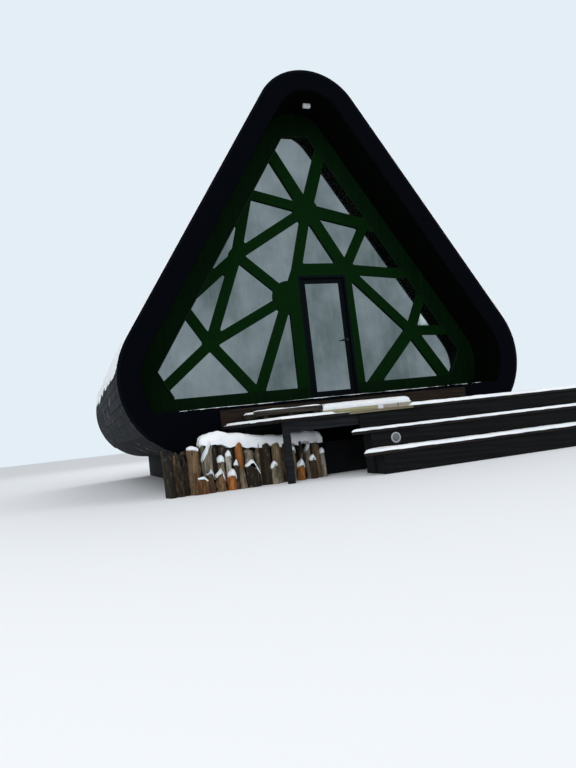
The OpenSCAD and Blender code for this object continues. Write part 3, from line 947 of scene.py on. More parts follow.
@dataclass
class Blanket:
    """A layer of snow on a level surface, with ragged rounded edges."""

    name: str
    corners: Corners
    base: float
    depth: float
    cell: float = 0.03
    wander: float = 0.02
    hollow: float = 0.3
    least: float = 0.004
    hang: float = 0.004
    heights: Callable[[float, float], float] | None = None
    share: Callable[[float, float], float] | None = None
    least_cells: int = 4
    rounding: float = 1.4
    rim: float = 0.12
    layer_scale: float = 7.0
    wander_scale: float = 6.0
    swell_scale: float = 3.5
    droop_scale: float = 9.0
    droop_change: float = 0.8

    def build(self, shop: Workshop, slot: str) -> None:
        """Builds the layer as a closed mesh.

        Args:
            shop: The workshop.
            slot: The record's slot of the surface below.
        """
        mesh = bmesh.new()
        front_left, front_right, back_right, back_left = (Vector(c) for c in self.corners)
        across = max((front_right - front_left).length, (back_right - back_left).length)
        deep = max((back_left - front_left).length, (back_right - front_right).length)
        columns, rows = (max(int(length / self.cell), self.least_cells) for length in (across, deep))
        bmesh.ops.create_grid(mesh, x_segments=columns, y_segments=rows, size=0.5)
        rounding = min(self.depth * self.rounding, deep / 3)
        for vert in mesh.verts:
            u, v = vert.co.x + 0.5, vert.co.y + 0.5
            flat = (front_left.lerp(front_right, u)).lerp(back_left.lerp(back_right, u), v)
            edge = min(u * across, (1 - u) * across, v * deep, (1 - v) * deep)
            vert.co = self._settle(flat, min(edge / rounding, 1.0))
        rim = [edge for edge in mesh.edges if edge.is_boundary]
        for vert in verts_in(bmesh.ops.extrude_edge_only(mesh, edges=rim)["geom"]):
            droop = self.hang * (1 + self.droop_change * noise.noise(vert.co * self.droop_scale))
            vert.co.z = self._ground(vert.co.x, vert.co.y) - droop
        under = [edge for edge in mesh.edges if edge.is_boundary]
        bmesh.ops.holes_fill(mesh, edges=under, sides=0)
        shop.piece(self.name, mesh, ["snow"], slot, smooth=1.2)

    def _ground(self, x: float, y: float) -> float:
        """Height of what the snow lies on."""
        return self.heights(x, y) if self.heights else self.base

    def _settle(self, flat: Vector, share: float) -> Vector:
        """Settles one point of the top, with the edge rounded and both ways wandering a little.

        Args:
            flat: The point's place in plan.
            share: Share of the way from the layer's edge to where it is full.

        Returns:
            The point.
        """
        seed = Vector((flat.x, flat.y, self.base * self.layer_scale))
        across = noise.noise(seed * self.wander_scale)
        deep = noise.noise(seed * self.wander_scale + APART)
        swell = 1 + self.hollow * drifts(seed * self.swell_scale, octaves=3)
        round_off = math.sqrt(max(1 - (1 - share) ** 2, 0.0))
        height = self.depth * swell * (self.rim + (1 - self.rim) * round_off)
        if self.share:
            height *= self.share(flat.x, flat.y)
        return Vector((flat.x + across * self.wander, flat.y + deep * self.wander,
                       self._ground(flat.x, flat.y) + max(height, self.least)))


@dataclass
class Terrace(Assembly):
    """Deck boards, treads and their snow."""

    board_gap: float = 0.006
    deck_board: float = 0.142
    ease: float = 0.004
    splay: float = 0.650
    cut: float = 0.275
    worn_edge: tuple[float, float] = (-0.36, 0.70)
    edge_t: float = 0.006
    edge_h: float = 0.036
    edge_grip: float = 0.006
    edge_lift: float = 0.0005
    edge_ease: float = 0.002
    snow_depth: float = 0.034
    snow_short: float = 0.01
    snow_corner: tuple[float, float] = (0.03, 0.035)
    tread_snow: tuple[float, float] = (0.032, 0.040)
    tread_short: float = 0.006
    right_share: float = 1.35
    path: tuple[float, float] = (-0.62, 0.70)
    path_slant: float = 0.55
    path_bare: float = 0.60
    path_edge: float = 0.07
    path_sway: float = 0.12
    path_fray: float = 0.03
    path_left: tuple[float, float] = (0.35, 0.6)
    swept: float = -0.2
    sill_reach: float = 2.66
    sill_blown: float = 0.22
    sill_snow: float = 0.004
    sill_limit: tuple[float, float] = (0.45, 0.5)
    sill_gain: tuple[float, float] = (0.6, 10.0)
    sill_bare: float = -0.5
    sill_scale: float = 3.0
    sway_scale: tuple[float, float] = (2.5, 4.0)
    sway_gain: float = 4.0
    front: float = field(init=False, default=0.0)
    sill_front: float = field(init=False, default=0.0)

    def build(self) -> None:
        """Builds the boards, then the snow."""
        self.deck()
        for node in ("upper_tread", "lower_tread"):
            self.tread(node)
        self.snow()

    def deck(self) -> None:
        """Lays the deck boards, cuts their left ends to the slant and adds the worn strip."""
        low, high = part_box("deck")
        mesh = bmesh.new()
        rows = round((high.y - low.y) / self.deck_board)
        pitch = (high.y - low.y) / rows
        for row in range(rows):
            y = low.y + row * pitch
            block(mesh, (low.x, y + self.board_gap / 2, low.z),
                  (high.x, y + pitch - self.board_gap / 2, high.z), self.ease)
        front_end = Vector((low.x + self.splay, low.y, 0.0))
        self._cut_end(mesh, front_end, Vector((low.x, high.y, 0.0)) - front_end)
        start, end = self.worn_edge
        block(mesh, (start, low.y - self.edge_t, high.z - self.edge_h),
              (end, low.y + self.edge_grip, high.z + self.edge_lift), self.edge_ease, 1)
        self.shop.piece("deck_boards", mesh, ["deck", "edge"], "deck", replaces=["deck"])

    def tread(self, node: str) -> None:
        """Lays one tread as two boards with their left ends cut to the slant.

        Args:
            node: Packed tread that the piece stands for.
        """
        low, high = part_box(node)
        mesh = bmesh.new()
        middle = (low.y + high.y) / 2
        for near, far in ((low.y, middle - self.board_gap / 2), (middle + self.board_gap / 2, high.y)):
            block(mesh, (low.x, near, low.z), (high.x, far, high.z), self.ease)
        front_end = Vector((low.x, low.y, 0.0))
        self._cut_end(mesh, front_end, Vector((self.cut, high.y - low.y, 0.0)))
        self.shop.piece(f"{node}_boards", mesh, ["tread"], "tread", replaces=[node])

    @staticmethod
    def _cut_end(mesh: BMesh, start: Vector, way: Vector) -> None:
        """Cuts off all that lies left of an upright plane.

        Args:
            mesh: The boards.
            start: Point on the plane.
            way: Direction of the plane's line in plan, running to the back.
        """
        slice_off(mesh, start, Vector((-way.y, way.x, 0.0)).normalized())

    def snow(self) -> None:
        """Lays snow on the deck but for the path, on both treads and on the floor's edge."""
        low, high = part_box("deck")
        self.front = low.y
        corner_x, corner_y = self.snow_corner
        corners = ((low.x + self.splay, low.y), (high.x, low.y), (high.x, high.y - self.snow_short),
                   (low.x + corner_x, high.y - corner_y))
        Blanket("deck_snow", corners, high.z, self.snow_depth, wander=0.008, hollow=0.2, least=-0.006,
                share=self._left_on_deck).build(self.shop, "deck")
        for node, depth in zip(("upper_tread", "lower_tread"), self.tread_snow):
            low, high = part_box(node)
            back = high.y - self.tread_short
            corners = ((low.x, low.y), (high.x, low.y), (high.x, back), (low.x + self.cut, back))
            Blanket(f"{node}_snow", corners, high.z, depth, cell=0.025, wander=0.006,
                    hollow=0.2).build(self.shop, "tread")
        edge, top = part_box("fascia_base")
        self.sill_front = edge.y
        corners = rectangle(-self.sill_reach, self.sill_reach, edge.y, edge.y + self.sill_blown)
        Blanket("sill_snow", corners, top.z, self.sill_snow, cell=0.02, wander=0.002, hollow=1.2,
                least=-0.003, share=self._left_on_sill).build(self.shop, "fascia")

    def _left_on_deck(self, x: float, y: float) -> float:
        """Share of the snow that is left at a place on the deck: more on the right, none on the path.

        Args:
            x: Place across the front.
            y: Place from front to back.

        Returns:
            The share, below zero where the boards are swept.
        """
        left, right = self.path
        behind = y - self.front
        scale_x, scale_y = self.sway_scale
        sway = self.path_sway * noise.noise(Vector((x * scale_x, y * scale_y, 2.0)))
        sway += self.path_fray * ripple(x, y, scale=14.0, layer=5.0)
        way_in = min(x - left, right + behind * self.path_slant - x)
        inside = way_in + sway * min(behind * self.sway_gain, 1.0)
        trodden = max(min(inside / self.path_edge, 1.0), 0.0)
        usual, change = self.path_left
        patches = usual + change * ripple(x, y, scale=5.0, layer=8.0)
        drift = patches if behind > self.path_bare else self.swept
        return (1 - trodden) * (self.right_share if x > 0 else 1.0) + trodden * drift

    def _left_on_sill(self, x: float, y: float) -> float:
        """Share of the snow that blew onto the floor's edge: it thins out at an uneven distance.

        Args:
            x: Place across the front.
            y: Place from front to back.

        Returns:
            The share, below zero where the floor is bare.
        """
        usual, change = self.sill_limit
        limit = self.sill_blown * (usual + change * noise.noise(Vector((x * self.sill_scale, 1.0, 4.0))))
        behind = y - self.sill_front
        least, gain = self.sill_gain
        return (least + gain * behind) * (1.0 if behind < limit else self.sill_bare)


@dataclass
class DoorStep(Assembly):
    """The step before the door: a raised dark plank on the left, low pale blocks on the right."""

    plank_start: float = -1.60
    plank_t: float = 0.074
    plank_rise: float = 0.022
    plank_ease: float = 0.006
    rear_drop: float = 0.030
    feet: tuple[float, ...] = (-1.42, -1.02, -0.62)
    foot_w: float = 0.07
    foot_back: float = 0.03
    foot_gap: float = 0.01
    foot_ease: float = 0.004
    pale_from: float = -0.55
    joint: tuple[float, float] = (0.380, 0.475)
    joint_back: float = 0.006
    joint_ease: float = 0.004
    last_block: float = 0.741
    end: float = 0.985
    pale_drop: float = 0.065
    gap: float = 0.005
    ease: float = 0.012
    round_end: float = 0.055
    snow_depth: float = 0.100
    snow_inset: tuple[float, float] = (0.002, 0.01)
    dust: tuple[float, float] = (0.014, 0.030)
    dust_short: float = 0.03
    dust_front: tuple[float, float] = (0.004, 0.01)
    dust_rear: tuple[float, float] = (0.008, 0.01)

    def build(self) -> None:
        """Builds the plank and blocks, then the snow on them."""
        low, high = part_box("door_step")
        self.planks(low, high)
        top = high.z - self.pale_drop
        left, right = self.joint
        pale = bmesh.new()
        block(pale, (self.pale_from, low.y, low.z), (left, high.y, top), self.ease)
        block(pale, (right, low.y, low.z), (self.last_block - self.gap, high.y, top), self.ease, 1)
        block(pale, (left, low.y + self.joint_back, low.z), (right, high.y, top), self.joint_ease, 2)
        self._rounded(pale, low, Vector((self.end, high.y, top)))
        self.shop.piece("door_step_blocks", pale, ["step", "block", "snow"], "step")
        self.snow(low, high, top)

    def planks(self, low: Vector, high: Vector) -> None:
        """Lays the front plank on three feet, and a lower one behind it that sticks out further.

        Args:
            low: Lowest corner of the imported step.
            high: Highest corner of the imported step.
        """
        dark = bmesh.new()
        middle = (low.y + high.y) / 2
        top = high.z + self.plank_rise
        rear = top - self.rear_drop
        end = self.pale_from - self.gap
        block(dark, (self.plank_start, low.y, top - self.plank_t), (end, middle - self.gap, top),
              self.plank_ease)
        block(dark, (low.x, middle, rear - self.plank_t), (end, high.y, rear), self.plank_ease)
        for foot in self.feet:
            block(dark, (foot - self.foot_w, low.y + self.foot_back, low.z),
                  (foot, middle, top - self.plank_t), self.foot_ease)
            block(dark, (foot - self.foot_w, middle + self.foot_gap, low.z),
                  (foot, high.y, rear - self.plank_t), self.foot_ease)
        self.shop.piece("door_step_planks", dark, ["worn"], "step", replaces=["door_step"])

    def _rounded(self, mesh: BMesh, low: Vector, high: Vector) -> None:
        """Adds the last block, with its two outer upright edges rounded.

        Args:
            mesh: The mesh to add to.
            low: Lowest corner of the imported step.
            high: Highest corner of the block.
        """
        verts = block(mesh, (self.last_block, low.y, low.z), tuple(high), material=1)
        outer = [edge for edge in {e for v in verts for e in v.link_edges}
                 if all(v.co.x > high.x - NEAR for v in edge.verts)
                 and abs(edge.verts[0].co.z - edge.verts[1].co.z) > NEAR]
        bmesh.ops.bevel(mesh, geom=outer, offset=self.round_end, affect="EDGES", segments=6, profile=0.5,
                        material=-1)

    def snow(self, low: Vector, high: Vector, top: float) -> None:
        """Heaps snow on the blocks and dusts the planks.

        Args:
            low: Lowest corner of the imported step.
            high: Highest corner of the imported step.
            top: Height of the blocks' top.
        """
        left, right = self.snow_inset
        corners = rectangle(self.pale_from + left, self.end - right, low.y, high.y)
        Blanket("door_step_snow", corners, top, self.snow_depth, cell=0.02, wander=0.008,
                hollow=0.10).build(self.shop, "step")
        end = self.pale_from - self.dust_short
        middle = (low.y + high.y) / 2
        plank = high.z + self.plank_rise
        front, rear = self.dust
        for name, start, near, far, inset, height, depth, hollow in (
                ("front", self.plank_start, low.y, middle, self.dust_front, plank, front, 0.8),
                ("rear", low.x, middle, high.y, self.dust_rear, plank - self.rear_drop, rear, 0.4)):
            corners = rectangle(start, end, near + inset[0], far - inset[1])
            Blanket(f"plank_snow_{name}", corners, height, depth, cell=0.02, wander=0.004,
                    hollow=hollow).build(self.shop, "step")


@dataclass
class GlazingBead(Assembly):
    """Moulding on the line between the surround and the lattice, up both slopes and over the top."""

    profile: ShellProfile
    inset: float = 0.643
    sill_h: float = 0.236
    top_w: float = 0.490
    cut_h: float = 0.450
    cut_w: float = 0.235
    width: float = 0.022
    stand: float = 0.010
    ease: float = 0.002

    def build(self) -> None:
        """Insets the glazing's outline, keeps the rim but for the sill's length, and stands it off."""
        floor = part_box("floor")[1].z
        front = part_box("lattice_top")[0].y
        mesh = bmesh.new()
        half = self._half(floor)
        outline = half + [(-x, z) for x, z in reversed(half)]
        face = mesh.faces.new([mesh.verts.new((x, front - CLEAR, z)) for x, z in outline])
        mesh.normal_update()
        bmesh.ops.inset_region(mesh, faces=[face], thickness=self.width, use_boundary=True,
                               use_even_offset=True)
        sill = min(mesh.faces, key=lambda f: f.calc_center_median().z)
        bmesh.ops.delete(mesh, geom=[face, sill], context="FACES")
        rim = bmesh.ops.extrude_face_region(mesh, geom=list(mesh.faces))["geom"]
        bmesh.ops.translate(mesh, verts=verts_in(rim), vec=(0.0, -self.stand, 0.0))
        bmesh.ops.recalc_face_normals(mesh, faces=mesh.faces)
        bmesh.ops.bevel(mesh, geom=list(mesh.edges), offset=self.ease, affect="EDGES", segments=2,
                        profile=0.5, material=-1, clamp_overlap=True)
        self.shop.piece("glazing_bead", mesh, ["bead"], "surround", smooth=0.5)

    def _half(self, floor: float) -> list[tuple[float, float]]:
        """Right half of the outline, from the foot of the slanted cut to the flat top.

        Args:
            floor: Height of the floor.

        Returns:
            Its three points as X and Z.
        """
        angle = self.profile.half_angle
        peak = self.profile.peak - (self.inset - self.width / 2) / math.sin(angle)
        foot = floor + self.sill_h
        side = (peak - foot - self.cut_h) * math.tan(angle)
        return [(side - self.cut_w, foot), (side, foot + self.cut_h),
                (self.top_w / 2, peak - self.top_w / 2 / math.tan(angle))]


@dataclass
class RearWall(Assembly):
    """Upright boards on the wall in the rear recess."""

    profile: ShellProfile
    inset: float = 0.340
    board: float = 0.145
    gap: float = 0.006
    thickness: float = 0.016
    foot_gap: float = 0.012
    ease: float = 0.002
    trims: int = 44
    corner_reach: float = 0.75

    def build(self) -> None:
        """Stands the boards side by side and trims them all to the outline of the recess."""
        low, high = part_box("back_wall")
        mesh = bmesh.new()
        count = int((high.x - low.x) / self.board)
        for number in range(count):
            x = -count * self.board / 2 + number * self.board
            block(mesh, (x + self.gap / 2, high.y + CLEAR, low.z + self.foot_gap),
                  (x + self.board - self.gap / 2, high.y + self.thickness, high.z), self.ease)
        profile = self.profile
        end = profile.ridge_length + profile.slope.length + profile.corner_r * self.corner_reach
        for step in range(-self.trims, self.trims + 1):
            point, angle = profile.at(end * step / self.trims, -self.inset)
            slice_off(mesh, point, Vector((math.sin(angle), 0.0, math.cos(angle))))
        self.shop.piece("rear_boards", mesh, ["wall"], "wall", smooth=0.3)


class LogCut(Enum):
    """Cross-section of a split log, with the log's thickness from front to back."""

    HALF = 0.13
    WEDGE = 0.15
    SLAB = 0.07


@dataclass(frozen=True)
class Log:
    """One split log: its place and height, how its top falls away on either side, and its snow."""

    across: tuple[float, float]
    front: float
    tall: float
    tone: float
    tip: float = 0.0
    fall: tuple[float, float] = (0.02, 0.03)
    snow: tuple[float, float] = (0.0, 0.0)
    cut: LogCut = LogCut.HALF
    bark: bool = False
    most_cover: float = 0.13

    @property
    def middle(self) -> float:
        """Middle of the log along the pile."""
        return (self.across[0] + self.across[1]) / 2

    @property
    def half(self) -> float:
        """Half width of the log along the pile."""
        return (self.across[1] - self.across[0]) / 2

    def side(self, x: float) -> tuple[int, float]:
        """Finds which side of the tip a place is on.

        Args:
            x: The place along the pile.

        Returns:
            The side, 0 left or 1 right, and the place's share of the way from the tip to that edge.
        """
        share = max(min((x - self.middle) / self.half, 1.0), -1.0)
        if share < self.tip:
            return 0, (self.tip - share) / (1 + self.tip)
        return 1, (share - self.tip) / (1 - self.tip)

    def top(self, x: float) -> float:
        """Height of the log's top at a place along the pile."""
        side, share = self.side(x)
        return self.tall - self.fall[side] * share

    def cover(self, x: float) -> float:
        """Upright depth of the snow at a place: deeper on a steep side, so that it is as thick there.

        Args:
            x: The place along the pile.

        Returns:
            The depth.
        """
        side, share = self.side(x)
        reach = self.half * (1 + self.tip if side == 0 else 1 - self.tip)
        steep = math.hypot(1.0, self.fall[side] / reach)
        other = self.snow[1 - side] * max(0.5 - share * 2, 0.0)
        own = self.snow[side] * min(0.5 + share * 2, 1.0)
        return min((own + other) * steep, self.most_cover)


@dataclass
class LogPile(Assembly):
    """Upright split logs against the plinth, short ones before tall ones, and the snow on them."""

    rows: tuple[str, str] = ("log_row_front", "log_row_back")
    line: tuple[tuple[float, float], ...] = ((-2.50, 0.705), (-2.17, 0.710), (-2.05, 0.675), (-1.85, 0.645),
                                             (-1.58, 0.600), (-0.60, 0.585))
    front_y: float = -0.41
    back_gap: float = 0.01
    left_gap: float = 0.01
    least_w: float = 0.06
    widths: tuple[float, float] = (0.08, 0.16)
    shorter: tuple[float, float] = (0.015, 0.045)
    most_fall: float = 0.05
    # Palest tone of the logs behind the others, kept dark as painted shade.
    painted_shade_palest: float = 0.22
    bark_share: float = 0.5
    spacing: tuple[float, float] = (0.92, 1.0)
    lean: float = 0.010
    wander: float = 0.012
    fibre: float = 0.005
    wander_in: float = 0.7
    peak_shift: float = 0.85
    upright: float = 0.5
    backward: float = 0.2
    jitter: float = 0.12
    cap_rings: tuple[tuple[float, float], ...] = ((-0.1, 1.14), (0.45, 1.03), (0.8, 0.90), (0.96, 0.72),
                                                  (1.0, 0.5))
    cap_foot: float = 0.9
    cap_start: float = 0.035
    cap_sunk: float = 0.016
    cap_change: float = 0.35
    bare_to: float = -2.47
    snow_front: float = -0.405
    snow_short: float = 0.02
    snow_level: float = 0.7
    snow_depth: float = 0.120
    foot_slope: float = 0.35
    foot_reach: float = 0.3
    seed: int = 29
    rng: random.Random = field(init=False)

    def build(self) -> None:
        """Stands the logs of both rows and lays the snow over them."""
        self.rng = random.Random(self.seed)
        low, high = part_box(self.rows[0])
        back_low, back_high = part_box(self.rows[1])
        self.stack(self.rows[1], self._row(back_low, back_high.x, back_low.y + self.back_gap))
        front = self._row(low, high.x, self.front_y) + list(SEEN_LOGS)
        self.stack(self.rows[0], front)
        self.snow(high.x, back_high.y - self.snow_short)

    def ground(self, x: float, _y: float = 0.0) -> float:
        """Height of the tall logs' tops at a place, from the points of their line.

        Args:
            x: Place along the pile.
            _y: Place from front to back, which makes no difference.

        Returns:
            The height.
        """
        points = self.line
        if x <= points[0][0]:
            return points[0][1] - self.foot_slope * min(points[0][0] - x, self.foot_reach)
        for (x0, z0), (x1, z1) in zip(points, points[1:]):
            if x <= x1:
                return z0 + (z1 - z0) * (x - x0) / (x1 - x0)
        return points[-1][1]

    def _row(self, low: Vector, end: float, front: float) -> list[Log]:
        """Plans a row of logs behind the others, side by side and uneven, in dark tones that paint their
        shade.

        Args:
            low: Lowest corner of the row.
            end: Right end of the row.
            front: Front of its logs.

        Returns:
            The planned logs.
        """
        logs = []
        x = low.x + self.left_gap
        while x < end - self.least_w:
            width = min(self.rng.uniform(*self.widths), end - x)
            tall = self.ground(x + width / 2) - self.rng.uniform(*self.shorter)
            fall = (self.rng.uniform(0.0, self.most_fall), self.rng.uniform(0.0, self.most_fall))
            cut = self.rng.choice([LogCut.HALF, LogCut.WEDGE])
            # Logs behind the others take only dark tones: painted shade.
            tone = self.rng.uniform(0.0, self.painted_shade_palest)
            bark = self.rng.random() < self.bark_share
            logs.append(Log((x, x + width), front, tall, tone, fall=fall, cut=cut, bark=bark))
            x += width * self.rng.uniform(*self.spacing)
        return logs

    def stack(self, node: str, logs: Sequence[Log]) -> None:
        """Builds the planned logs of one row as one piece, and the snow on them as another.

        Args:
            node: Packed row that the piece stands for.
            logs: The logs.
        """
        mesh, caps = bmesh.new(), bmesh.new()
        tone = mesh.verts.layers.float.new("tone")
        for one in logs:
            section = self._section(one)
            sway = self._log(mesh, tone, one, section)
            if max(one.snow) > 0.0:
                self._cap(caps, one, section, sway)
        self.shop.piece(f"{node}_split", mesh, ["log", "bark"], "log", replaces=[node], smooth=0.5)
        if caps.faces:
            self.shop.piece(f"{node}_caps", caps, ["snow"], "log", smooth=1.2)
        else:
            caps.free()

    def _log(self, mesh: BMesh, tone: Any, one: Log, section: Sequence[Vector]) -> float:
        """Draws a log up from its section in rings that wander, to a slanted or pointed top.

        Args:
            mesh: The mesh to add to.
            tone: The layer that holds each log's tone, dark on logs in shade as painted shade.
            one: The log.
            section: Outline of its foot.

        Returns:
            How far its top swayed along the pile.
        """
        made = [mesh.verts.new(point) for point in section]
        current = [mesh.faces.new(made)]
        lean = self.rng.uniform(-self.lean, self.lean)
        centre = sum(section, Vector()) / len(section)
        previous = 0.0
        for level, grow in self._levels(one.cut):
            out = bmesh.ops.extrude_face_region(mesh, geom=current)["geom"]
            ring = verts_in(out)
            for vert in ring:
                foot = vert.co.x - lean * previous
                rough = ripple(foot, vert.co.y, scale=14.0, layer=level * 9 + one.middle * 31)
                fine = ripple(foot, vert.co.y, scale=60.0, layer=level * 5 + one.tall * 17)
                shift = rough * self.wander + fine * self.fibre
                x = centre.x + (foot - centre.x) * grow
                y = centre.y + (vert.co.y - centre.y) * grow
                deep = y + abs(shift) * self.wander_in
                vert.co = Vector((x + lean * level + shift, deep, level * one.top(x)))
            current = faces_in(out)
            made.extend(ring)
            previous = level
        sway = sum(vert.co.x for vert in ring) / len(ring) - centre.x
        peak = bmesh.ops.poke(mesh, faces=current)["verts"][0]
        peak.co.x = one.middle + one.tip * one.half * self.peak_shift + lean
        peak.co.z = one.tall
        made.append(peak)
        for vert in made:
            vert[tone] = one.tone
        if one.bark:
            self._bark(made)
        return sway

    def _levels(self, cut: LogCut) -> list[tuple[float, float]]:
        """Plans a log's rings, which taper in a slab.

        Args:
            cut: The log's cross-section.

        Returns:
            Each ring's share of the height, with its growth from the one below.
        """
        if cut is LogCut.SLAB:
            return [(0.2, 1.02), (0.45, 0.98), (0.7, 0.96), (0.85, 0.92), (0.95, 0.9), (1.0, 0.8)]
        wide = self.rng.uniform(0.97, 1.04)
        return [(0.12, wide), (0.3, 0.98), (0.5, 1.02), (0.7, 0.98), (0.86, 1.0), (0.965, 0.98), (1.0, 0.86)]

    def _bark(self, verts: Sequence[BMVert]) -> None:
        """Puts bark on the upright faces that don't look to the back.

        Args:
            verts: The log's vertices.
        """
        for face in {f for v in verts for f in v.link_faces}:
            face.normal_update()
            if abs(face.normal.z) < self.upright and face.normal.y < self.backward:
                face.material_index = 1

    def _section(self, one: Log) -> list[Vector]:
        """Draws the outline of a log from above, at its foot.

        Args:
            one: The log.

        Returns:
            The outline's points.
        """
        jitter = self.rng.uniform(-self.jitter, self.jitter)
        if one.cut is LogCut.WEDGE:
            shares = [(-0.95, 0.95), (-0.5, 0.4), (jitter, 0.02), (0.55, 0.45), (0.97, 0.9), (0.5, 1.0),
                      (-0.45, 1.0)]
        else:
            bow = 0.25 if one.cut is LogCut.HALF else 0.45
            arc = [math.pi * i / 8 for i in range(9)]
            shares = [(-math.cos(a) * 0.98, (1 - math.sin(a)) * (1 - bow) * (1 + jitter * math.sin(3 * a)))
                      for a in arc] + [(0.9, 0.96), (0.3, 1.0), (-0.4, 0.98), (-0.92, 0.97)]
        return [Vector((one.middle + across * one.half, one.front + deep * one.cut.value, 0.0))
                for across, deep in shares]

    def _cap(self, mesh: BMesh, one: Log, section: Sequence[Vector], sway: float) -> None:
        """Lays snow on one log: its outline is raised in rings that follow the top and close in.

        Args:
            mesh: The mesh to add to.
            one: The log.
            section: Outline of its foot.
            sway: How far the log's top swayed along the pile.
        """
        centre = sum(section, Vector()) / len(section)
        ring = [mesh.verts.new(centre + (point - centre) * self.cap_foot) for point in section]
        made = list(ring)
        current = [mesh.faces.new(ring)]
        for vert in ring:
            vert.co.z = one.top(vert.co.x) - self.cap_start
        for rise, grow in self.cap_rings:
            out = bmesh.ops.extrude_face_region(mesh, geom=current)["geom"]
            ring = verts_in(out)
            for vert in ring:
                x = centre.x + (vert.co.x - centre.x) * grow
                y = centre.y + (vert.co.y - centre.y) * grow
                swell = 1 + self.cap_change * ripple(x, y, scale=16.0, layer=one.tall * 30)
                vert.co = Vector((x, y, one.top(x) - self.cap_sunk + rise * one.cover(x) * swell))
            current = faces_in(out)
            made.extend(ring)
        bmesh.ops.translate(mesh, verts=made, vec=(sway, 0.0, 0.0))

    def snow(self, right: float, back: float) -> None:
        """Lays one uneven layer over the tall logs, hanging down between those before them.

        Args:
            right: Right end of the layer.
            back: Back of the layer.
        """
        corners = rectangle(self.bare_to, right, self.snow_front, back)
        Blanket("log_snow", corners, self.snow_level, self.snow_depth, cell=0.020, wander=0.030,
                hollow=0.30, hang=0.060, heights=self.ground).build(self.shop, "log")


# The leftmost logs, under the shell's overhang, carry the darkest tones as painted shade.
SEEN_LOGS: tuple[Log, ...] = (
    Log((-3.00, -2.945), -0.36, 0.67, 0.12, 0.2, (0.02, 0.09), bark=True),
    Log((-2.98, -2.870), -0.48, 0.60, 0.02, -0.3, (0.04, 0.10), bark=True),
    Log((-2.89, -2.710), -0.48, 0.62, 0.16, -0.3, (0.04, 0.34), cut=LogCut.WEDGE),
    Log((-2.77, -2.640), -0.40, 0.47, 0.03, 0.0, (0.02, 0.03)),
    Log((-2.68, -2.510), -0.46, 0.66, 0.58, -0.1, (0.01, 0.04), (0.035, 0.030)),
    Log((-2.475, -2.405), -0.40, 0.68, 0.66, 0.3, (0.01, 0.03)),
    Log((-2.51, -2.297), -0.49, 0.70, 0.80, 0.55, (0.30, 0.11), (0.036, 0.010), LogCut.WEDGE),
    Log((-2.63, -2.530), -0.52, 0.31, 0.23, 0.1, (0.02, 0.07), cut=LogCut.SLAB),
    Log((-2.58, -2.430), -0.54, 0.25, 0.25, 0.2, (0.01, 0.06), (0.010, 0.008), LogCut.SLAB),
    Log((-2.44, -2.330), -0.52, 0.33, 0.21, 0.0, (0.05, 0.08), (0.0, 0.02), LogCut.SLAB),
    Log((-2.27, -2.150), -0.45, 0.45, 0.72, 0.1, (0.02, 0.03), (0.075, 0.065)),
    Log((-2.33, -2.143), -0.54, 0.29, 0.56, 0.1, (0.10, 0.17), (0.028, 0.034), LogCut.WEDGE),
    Log((-2.145, -2.020), -0.54, 0.26, 0.39, 0.0, (0.05, 0.10), (0.035, 0.040)),
    Log((-2.14, -2.035), -0.44, 0.52, 1.00, 0.0, (0.03, 0.06), (0.045, 0.040)),
    Log((-1.987, -1.872), -0.46, 0.66, 0.34, 0.1, (0.06, 0.05)),
    Log((-2.03, -1.970), -0.50, 0.40, 0.20, 0.0, (0.04, 0.06), (0.015, 0.020), LogCut.SLAB),
    Log((-1.973, -1.878), -0.53, 0.30, 0.66, -0.1, (0.03, 0.05), cut=LogCut.SLAB),
    Log((-1.878, -1.682), -0.43, 0.54, 0.78, -0.1, (0.01, 0.04)),
    Log((-1.88, -1.664), -0.54, 0.38, 0.10, -0.1, (0.07, 0.20), (0.030, 0.018), bark=True),
    Log((-1.70, -1.590), -0.45, 0.61, 0.70, 0.1, (0.08, 0.05), cut=LogCut.WEDGE),
    Log((-1.60, -1.450), -0.48, 0.60, 0.30, 0.2, (0.03, 0.02), bark=True),
    Log((-1.445, -1.290), -0.48, 0.59, 0.62, 0.2, (0.03, 0.04)),
    Log((-1.50, -1.400), -0.54, 0.31, 0.75, 0.1, (0.06, 0.03), (0.030, 0.030), LogCut.SLAB),
    Log((-1.29, -1.160), -0.46, 0.58, 0.35, 0.0, (0.03, 0.02), bark=True),
    Log((-1.18, -1.050), -0.48, 0.50, 0.68, -0.2, (0.05, 0.10), (0.040, 0.030), LogCut.WEDGE),
    Log((-1.04, -0.930), -0.45, 0.57, 0.18, 0.0, (0.03, 0.03), bark=True),
    Log((-1.10, -0.980), -0.54, 0.27, 0.37, 0.1, (0.05, 0.08), (0.035, 0.030)),
    Log((-0.94, -0.800), -0.47, 0.55, 0.78, 0.4, (0.20, 0.03), (0.030, 0.0), LogCut.WEDGE),
    Log((-0.90, -0.800), -0.54, 0.33, 0.20, 0.0, (0.04, 0.05), (0.035, 0.030), LogCut.SLAB),
    Log((-0.80, -0.680), -0.46, 0.52, 0.60, -0.2, (0.02, 0.06)),
    Log((-0.70, -0.610), -0.48, 0.40, 0.86, 0.0, (0.03, 0.03), (0.045, 0.040)),
)


